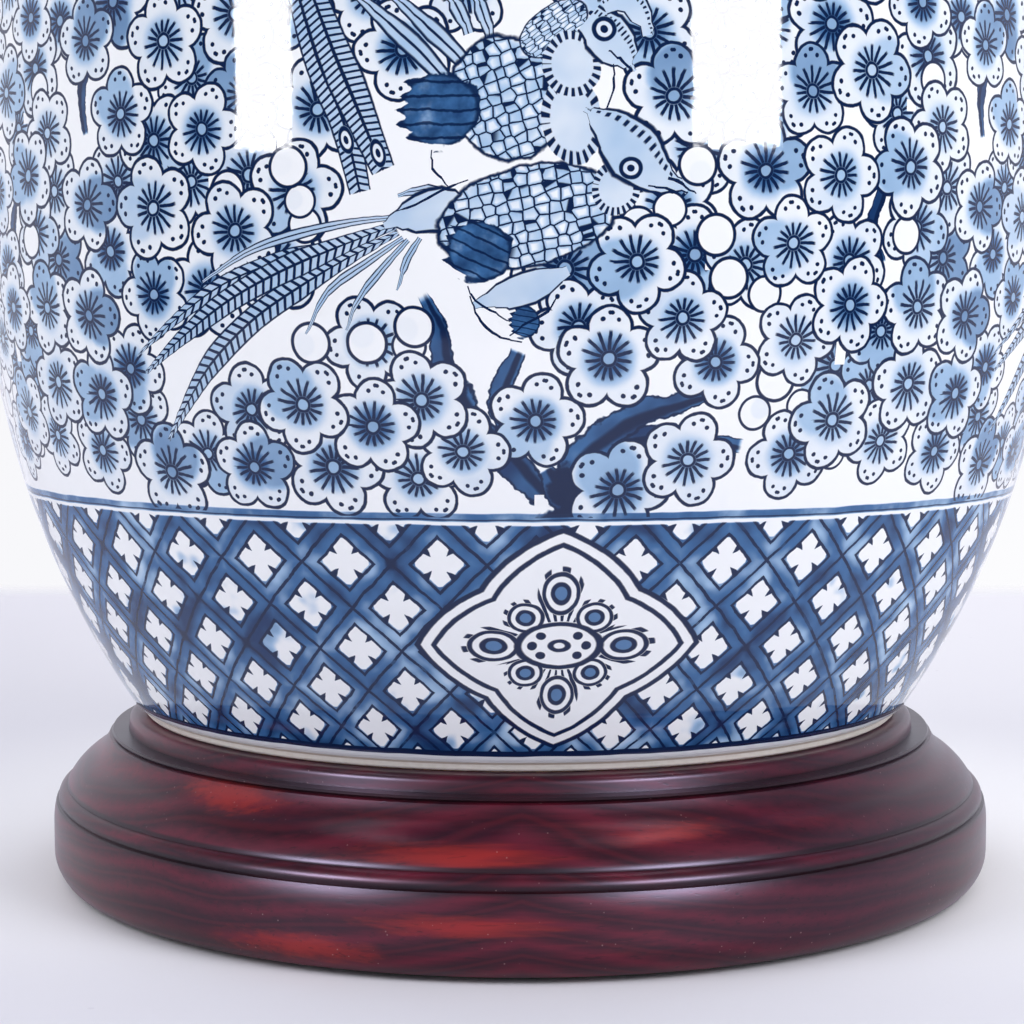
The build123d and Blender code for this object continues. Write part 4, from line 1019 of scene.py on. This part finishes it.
def build_lid():
    skirt_low, skirt_in, seat_in = LID_SEAT_Z - 0.016, LID_R - 0.0045, NECK_R - JAR_WALL
    boss_r, boss_h, dome_in = 0.015, 0.0024, LID_DOME_Z - 0.0045
    points = outline(
        (skirt_in, skirt_low + 0.001), (skirt_in + 0.001, skirt_low), (LID_R - 0.0012, skirt_low),
        (LID_R, skirt_low + 0.0012, 0.00034), (LID_R, LID_SEAT_Z - 0.003),
        (LID_R - 0.0015, LID_SEAT_Z + 0.0035, 0.00038))
    points += bulged(points[-1], (boss_r, LID_DOME_Z), 0.00735, 30)
    points += outline(points[-1], (boss_r, LID_DOME_Z + boss_h - 0.0008),
                      (boss_r - 0.0008, LID_DOME_Z + boss_h, 0.00023), (JAR_HOLE_R, LID_DOME_Z + boss_h),
                      (JAR_HOLE_R, dome_in), (boss_r - 0.003, dome_in))[1:]
    points += bulged(points[-1], (seat_in, LID_SEAT_Z + 0.003), -0.006, 16)
    points += [(seat_in, LID_SEAT_Z), (skirt_in, LID_SEAT_Z)]
    lid = lathe("lid_porcelain", spaced(points, 0.003), columns=160)
    sharpen(lid, 50)
    faces = len(lid.data.polygons)
    coords = np.array([v.co for v in lid.data.vertices])
    index = np.zeros(faces * 4, np.int32)
    lid.data.loops.foreach_get("vertex_index", index)
    corner = coords[index].reshape(faces, 4, 3)
    x, y, z = corner[..., 0], corner[..., 1], corner[..., 2]
    top = (z > LID_SEAT_Z + 0.002).all(axis=1) & (np.hypot(x, y) > boss_r * 0.98).all(axis=1)
    spots = []
    for a, b, seed in draw.uniform(0, 1, (LID_TRIES, 3)):
        radius, angle = 0.018 + 0.036 * math.sqrt(a), 2 * math.pi * b
        spot = (radius * math.sin(angle), -radius * math.cos(angle))
        if all(math.hypot(spot[0] - s[0], spot[1] - s[1]) > LID_FLOWER_GAP for s in spots):
            spots.append((*spot, seed))
    layer = Layer(FLOWER_SLOTS, x, y, None)
    for cx, cy, seed in spots:
        u, v = (x - cx) / LID_FLOWER_R, (y - cy) / LID_FLOWER_R
        hit = np.nonzero(top & (np.hypot(u, v).min(axis=1) < 1.35))[0]
        layer.put(hit, u[hit], v[hit], 1.02 + 0.95 * seed)
    for i, values in enumerate(layer.data):
        corner_attribute(lid, f"flower_{i}", values)
    return lid


def lid_material():
    made, where = material("blue_painted_lid")
    x, y, z = split(where)
    fine_x, fine_y, _ = split(noise(where, 420.0, 2.0, 0.6, 0.0, True))
    broad = noise(where, 90.0)
    wash = join(fine_x, fine_y, broad)
    tone = broad * 0.05
    ink = broad * 0.0
    for i in reversed(range(FLOWER_SLOTS)):
        tone, ink = use(LOOKS["flower"], attribute(f"flower_{i}"), wash, tone, ink)
    r = reach(x, y)
    scallops = 24
    turn = calc("ARCTAN2", x, y) * (scallops / (2 * math.pi))
    scallop = absolute(part_of(turn) - 0.5)
    skirt = ramp(z, LID_SEAT_Z + 0.0022, LID_SEAT_Z + 0.0016)
    wave = (z - (LID_SEAT_Z - 0.007)) * 160.0 + (scallop - 0.25) * 3.0
    skirt_ink = most(line(wave, 0.14), line(wave - 0.9, 0.10)) * (r > 0.0585)
    tone, ink = lerp(tone, 0.12 + 0.4 * inside(wave, 0.05), skirt), lerp(ink, skirt_ink, skirt)
    for level in (LID_SEAT_Z + 0.0022, LID_SEAT_Z - 0.0142):
        ring = ramp(absolute(z - level), 0.0009, 0.0006)
        tone, ink = lerp(tone, 0.7, ring), lerp(ink, 0.4, ring)
    ring = ramp(absolute(r - 0.0165), 0.0011, 0.0008) * (z > LID_SEAT_Z)
    tone, ink = lerp(tone, 0.7, ring), lerp(ink, 0.4, ring)
    within = most(ramp(r, 0.0545, 0.0544) * (z < LID_SEAT_Z), ramp(r, 0.0153, 0.0150))
    tone, ink = lerp(tone, 0.02, within), lerp(ink, 0.0, within)
    glaze(porcelain_colours(most(tone, 0.0), most(ink, 0.0)), GLAZE_ROUGHNESS, noise(where, 260.0))
    return made


# ==================== shade
def shade_radius(z):
    return SHADE_LOW_R + (SHADE_TOP_R - SHADE_LOW_R) * (z - SHADE_LOW_Z) / (SHADE_TOP_Z - SHADE_LOW_Z)


def build_shade():
    out = [(shade_radius(z), z) for z in np.linspace(SHADE_LOW_Z, SHADE_TOP_Z, 24)]
    back = [(r - SHADE_T, z) for r, z in out[::-1]]
    shade = lathe("shade_linen", out + back, columns=192)
    sharpen(shade, 40)
    return shade


def linen_material():
    made, where = material("linen_natural")
    x, y, z = split(where)
    angle = calc("ARCTAN2", x, y)
    threads, middle_r = 1600.0, 0.165          # per metre; radius half-way up
    u = angle * middle_r * threads
    v = z * threads
    drift = noise(join(angle * 3.0, z * 60.0, 0.0), 3.0)
    warp = noise(join(angle * 250.0, z * 9.0, 0.0), 1.0, 2.0, 0.6)
    weft = noise(join(angle * 2.0, z * 900.0, 0.0), 1.0, 2.0, 0.6)
    over = sine(u * math.pi + drift * 6.0) * sine(v * math.pi)
    yarn = most(absolute(sine(u * math.pi + drift * 6.0)), absolute(sine(v * math.pi)))
    slub = ramp(warp, 0.56, 0.76) * 0.6 + ramp(weft, 0.56, 0.76) * 0.8
    seam = ramp(absolute(x - 0.006), 0.0006, 0.0003) * (y > 0.0)
    colour = washed(srgb(188, 180, 165), ((212, 205, 193), yarn * 0.6 + drift * 0.4),
                    ((178, 166, 144), slub * 0.55), ((176, 164, 142), seam * 0.7))
    height = yarn * 0.6 + over * 0.2 + slub * 0.5 - seam
    surface(colour, 0.82, height, 0.12, Sheen_Weight=0.25, Sheen_Roughness=0.5)
    return made


# ==================== other finishes
def brass_material():
    made, where = material("brass_polished")
    x, y, z = split(where)
    brushed = noise(join(x * 40.0, y * 40.0, z * 1500.0), 1.0, 2.0)
    age = noise(where, 90.0, 3.0, 0.6)
    colour = tint(srgb(222, 178, 98), srgb(188, 138, 66), age)
    colour = tint(colour, srgb(120, 84, 40), ramp(age, 0.62, 0.78) * 0.4)
    surface(colour, 0.16 + 0.16 * age, brushed, 0.006, Metallic=1.0)
    return made


def plain_metal(name, bright, dark, rough):
    made, where = material(name)
    mottle = noise(where, 160.0, 3.0, 0.6)
    spangle = cells(where, 420.0)
    colour = tint(bright, dark, mottle * 0.7 + spangle * 0.3)
    surface(colour, rough + 0.14 * mottle, mottle, 0.01, Metallic=1.0)
    return made


def grained(name, base, other, rough, scale, bump_mm):
    """Moulded, pressed or painted stuff: two tones, fine grain and a little wear."""
    made, where = material(name)
    coarse = noise(where, scale * 0.12, 3.0, 0.55)
    fine = noise(where, scale, 3.0, 0.6)
    colour = tint(base, other, ramp(coarse * 0.5 + fine * 0.5, 0.32, 0.68))
    surface(colour, rough + 0.12 * (coarse - 0.5), fine, bump_mm)
    return made


def cork_material():
    made, where = material("cork_sheet")
    crumb = cells(where, 620.0, "F1", "Color")
    gap = ramp(cells(where, 620.0, "DISTANCE_TO_EDGE"), 0.10, 0.02)
    shade, _, _ = split(crumb)
    colour = tint(srgb(190, 146, 98), srgb(138, 96, 58), shade)
    colour = tint(colour, srgb(84, 54, 32), gap * 0.7)
    surface(colour, 0.85, shade - gap, 0.15)
    return made


def felt_material():
    made, where = material("felt_green")
    fibre = noise(where, 1500.0, 4.0, 0.7, 1.5)
    cloud = noise(where, 45.0, 3.0)
    colour = tint(srgb(24, 50, 38), srgb(42, 74, 56), fibre * 0.7 + cloud * 0.3)
    surface(colour, 0.95, fibre, 0.25, Sheen_Weight=0.4, Sheen_Roughness=0.6)
    return made


def glass_material():
    made, where = material("frosted_bulb_glass")
    _, _, z = split(where)
    etch = noise(where, 2200.0, 3.0, 0.6)
    coat = ramp(z, 0.47, 0.455)
    colour = tint(srgb(240, 238, 232), srgb(224, 222, 216), etch * 0.6 + noise(where, 60.0) * 0.4)
    surface(colour, 0.32 + 0.1 * etch, etch, 0.02, Subsurface_Weight=0.3, Subsurface_Scale=0.004,
            Coat_Weight=0.3 * coat + 0.1, Coat_Roughness=0.3)
    return made


def tape_material():
    """Bias tape round the shade's edges: a twill with close diagonal ribs."""
    made, where = material("linen_tape")
    x, y, z = split(where)
    angle = calc("ARCTAN2", x, y)
    rib = absolute(part_of(angle * 150.0 + z * 900.0) - 0.5) * 2.0
    soil = noise(where, 70.0, 3.0)
    colour = tint(srgb(210, 202, 187), srgb(184, 174, 155), rib * 0.5 + soil * 0.5)
    surface(colour, 0.85, rib, 0.08, Sheen_Weight=0.2)
    return made


# ==================== pieces
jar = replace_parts(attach(build_jar(), "root"), "jar_body")
LOOKS = {"flower": group("painted_flower", flower_look), "bird": group("painted_bird", high_look),
         "branch": group("painted_branch", branch_look)}
for made in (jar_material("porcelain_band", False, False, True),
             jar_material("porcelain_blossom", True, False, False),
             jar_material("porcelain_scene", True, True, True)):
    jar.data.materials.append(made)
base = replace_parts(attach(build_base(), "root"), "wood_base")
paint(base, wood_material())
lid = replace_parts(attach(build_lid(), "root"), "jar_lid")
paint(lid, lid_material())
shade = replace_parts(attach(build_shade(), "shade"), "shade_panel")
paint(shade, linen_material())

brass = brass_material()
# two screen colours and roughness
steel, nickel, solder = [
    plain_metal(name, srgb(*bright), srgb(*dark), rough) for name, bright, dark, rough in (
        ("zinc_plate", (196, 198, 202), (148, 150, 156), 0.28),
        ("nickel_thin", (214, 208, 196), (180, 172, 158), 0.2),
        ("solder_dull", (176, 178, 182), (128, 130, 134), 0.4))]
# two screen colours, roughness, grains per metre and their height in mm
black, rubber, card, styrene, white_wire = [
    grained(name, srgb(*one), srgb(*other), *rest) for name, one, other, *rest in (
        ("black_moulding", (22, 22, 24), (36, 36, 38), 0.38, 900.0, 0.02),
        ("rubber_black", (26, 26, 27), (40, 40, 42), 0.75, 1200.0, 0.05),
        ("card_sleeve", (70, 56, 44), (96, 78, 60), 0.85, 700.0, 0.08),
        ("styrene_white", (240, 238, 232), (230, 228, 220), 0.45, 500.0, 0.02),
        ("wire_white_paint", (236, 234, 228), (220, 217, 208), 0.35, 800.0, 0.03))]
finishes = {
    felt_material(): ["felt_pad"],
    black: ["cord_bushing", "switch_knob", "switch_block"],
    steel: ["base_washer", "base_locknut", "terminal_screws"],
    cork_material(): ["jar_seat_ring", "lid_gasket"],
    rubber: ["jar_grommet"],
    brass: ["lamp_pipe", "check_ring", "brass_neck", "neck_locknut", "harp_saddle", "harp_wire", "harp_stud",
            "harp_sleeve_left", "harp_sleeve_right", "socket_cap", "cap_set_screw", "socket_shell",
            "socket_screw_shell", "centre_contact", "switch_shaft", "finial_insert"],
    card: ["socket_insulator"],
    nickel: ["bulb_screw_cap"],
    solder: ["bulb_contact"],
    glass_material(): ["bulb_glass"],
    styrene: ["shade_liner"],
    white_wire: ["shade_bottom_ring", "shade_spider"],
    tape_material(): ["shade_top_trim", "shade_bottom_trim"],
    base.data.materials[0]: ["finial_knob"],
}
for made, names in finishes.items():
    for name in names:
        paint(nodes[name], made)

# ==================== floor, light and camera
FLOOR_HALF = 0.587          # the floor's soft edge, level with the line in the photograph
FLOOR_SOFT = 0.035


def build_floor():
    size, count = FLOOR_HALF + 0.2, 24
    span = np.linspace(-size, size, count + 1)
    coords = [(x, y, 0.0) for y in span for x in span]
    row = count + 1
    starts = [i * row + j for i in range(count) for j in range(count)]
    faces = [(at, at + 1, at + row + 1, at + row) for at in starts]
    mesh = bpy.data.meshes.new("floor")
    mesh.from_pydata(coords, [], faces)
    floor = linked("floor", mesh)
    made, where = material("floor_pale")
    x, y, _ = split(where)
    grain = noise(where, 900.0, 3.0, 0.6)
    speck = ramp(cells(where, 55.0), 0.045, 0.03) * ramp(noise(where, 8.0), 0.5, 0.6)
    # painted light: the cloth is painted lighter close round the base, where least light reaches it, and the
    # whole floor lighter towards the right
    painted_light_near_base = ramp(reach(x, y), 0.26, 0.13) * ramp(y, -0.14, -0.03)
    colour = washed(srgb(218, 217, 228), ((226, 225, 234), ramp(x, -0.35, 0.35)),
                    ((246, 245, 250), painted_light_near_base * ramp(x, -0.1, 0.1, 0.7, 1.0)),
                    ((206, 204, 216), speck * 0.6 + grain * 0.08))
    shader = node("ShaderNodeBsdfDiffuse")
    feed(shader.inputs["Color"], colour)
    clear = node("ShaderNodeBsdfTransparent")
    mix = node("ShaderNodeMixShader")
    edge = most(absolute(x), absolute(y))
    feed(mix.inputs[0], ramp(edge, FLOOR_HALF - FLOOR_SOFT, FLOOR_HALF + FLOOR_SOFT))
    feed(mix.inputs[1], Val(shader.outputs[0]))
    feed(mix.inputs[2], Val(clear.outputs[0]))
    feed(node("ShaderNodeOutputMaterial").inputs["Surface"], Val(mix.outputs[0]))
    mesh.materials.append(made)
    return floor


def softbox(name, azimuth, distance, low, high, width, power, colour=(1, 1, 1)):
    """An upright area light; azimuth 0 is towards the camera, positive to the right."""
    data = bpy.data.lights.new(name, "AREA")
    data.shape = "RECTANGLE"
    data.size, data.size_y = width, high - low
    data.energy = power
    data.color = colour
    lamp = linked(name, data)
    turn = math.radians(azimuth)
    lamp.location = (math.sin(turn) * distance, -math.cos(turn) * distance, (low + high) / 2)
    lamp.rotation_euler = (math.radians(90), 0, turn)
    return lamp


build_floor()
# the satin wood shows no sharp glints of the softboxes
satin = bpy.data.collections.new("not_lit_by_softboxes")
satin.objects.link(base)
satin.collection_objects[0].light_linking.link_state = "EXCLUDE"
for name, azimuth, width, glint, power in (("left", -48, 0.22, 24.0, 8.6),
                                           ("right", 39.7, 0.333, 37.0, 13.6)):
    box = softbox(f"softbox_{name}", azimuth, distance=1.1, low=0.215, high=1.5, width=width, power=glint)
    box.visible_diffuse = False
    box.light_linking.receiver_collection = satin
    key = softbox(f"key_{name}", azimuth * 1.25, distance=1.25, low=0.4, high=1.6, width=0.7, power=power)
    key.visible_glossy = False
# high lamps for the satin wood alone, which draw the thin lines of light on its mouldings
only_wood = bpy.data.collections.new("lit_by_high_lamps")
only_wood.objects.link(base)
for azimuth in (-44, 34):
    high = softbox(f"high_{azimuth}", azimuth, distance=1.1, low=0.20, high=0.46, width=0.34, power=18.0,
                   colour=(0.92, 0.86, 1.0))
    high.visible_diffuse = False
    high.light_linking.receiver_collection = only_wood
for side in (-1, 1):
    fill = softbox(f"fill_{side}", 180 - side * 35, distance=1.9, low=0.5, high=1.9, width=1.6, power=17.0)
    fill.visible_glossy = False

world = bpy.data.worlds.new("studio")
bpy.context.scene.world = world
world.use_nodes = True
Val.tree = world.node_tree
Val.tree.nodes.clear()
path = node("ShaderNodeLightPath")
direction = Val(node("ShaderNodeTexCoord").outputs["Generated"])
dir_x, dir_y, dir_z = split(direction)
front = most(ramp(dir_y, 0.12, -0.25), ramp(dir_z, 0.45, 0.8))
walls = tint((0.88, 0.88, 0.98, 1.0), (0.06, 0.06, 0.08, 1.0), front)
ambient = tint((0.58, 0.585, 0.60, 1.0), walls, Val(path.outputs["Is Glossy Ray"]))
backdrop = tint(srgb(248, 248, 251), srgb(252, 252, 254), ramp(dir_x, -0.2, 0.2))
seen = most(Val(path.outputs["Is Camera Ray"]), Val(path.outputs["Is Transmission Ray"]))
background = node("ShaderNodeBackground")
feed(background.inputs["Color"], tint(ambient, backdrop, seen))
feed(node("ShaderNodeOutputWorld").inputs["Surface"], Val(background.outputs[0]))

camera = bpy.data.cameras.new("camera")
camera.lens, camera.sensor_width = LENS_MM, SENSOR_MM
camera.clip_start = 0.01
camera_object = linked("camera", camera)
camera_object.location = (CAM_SIDE, -CAM_BACK, CAM_UP)
camera_object.rotation_euler = (math.radians(90) - TILT, 0, 0)
bpy.context.scene.camera = camera_object
bpy.context.scene.view_settings.view_transform = "Standard"
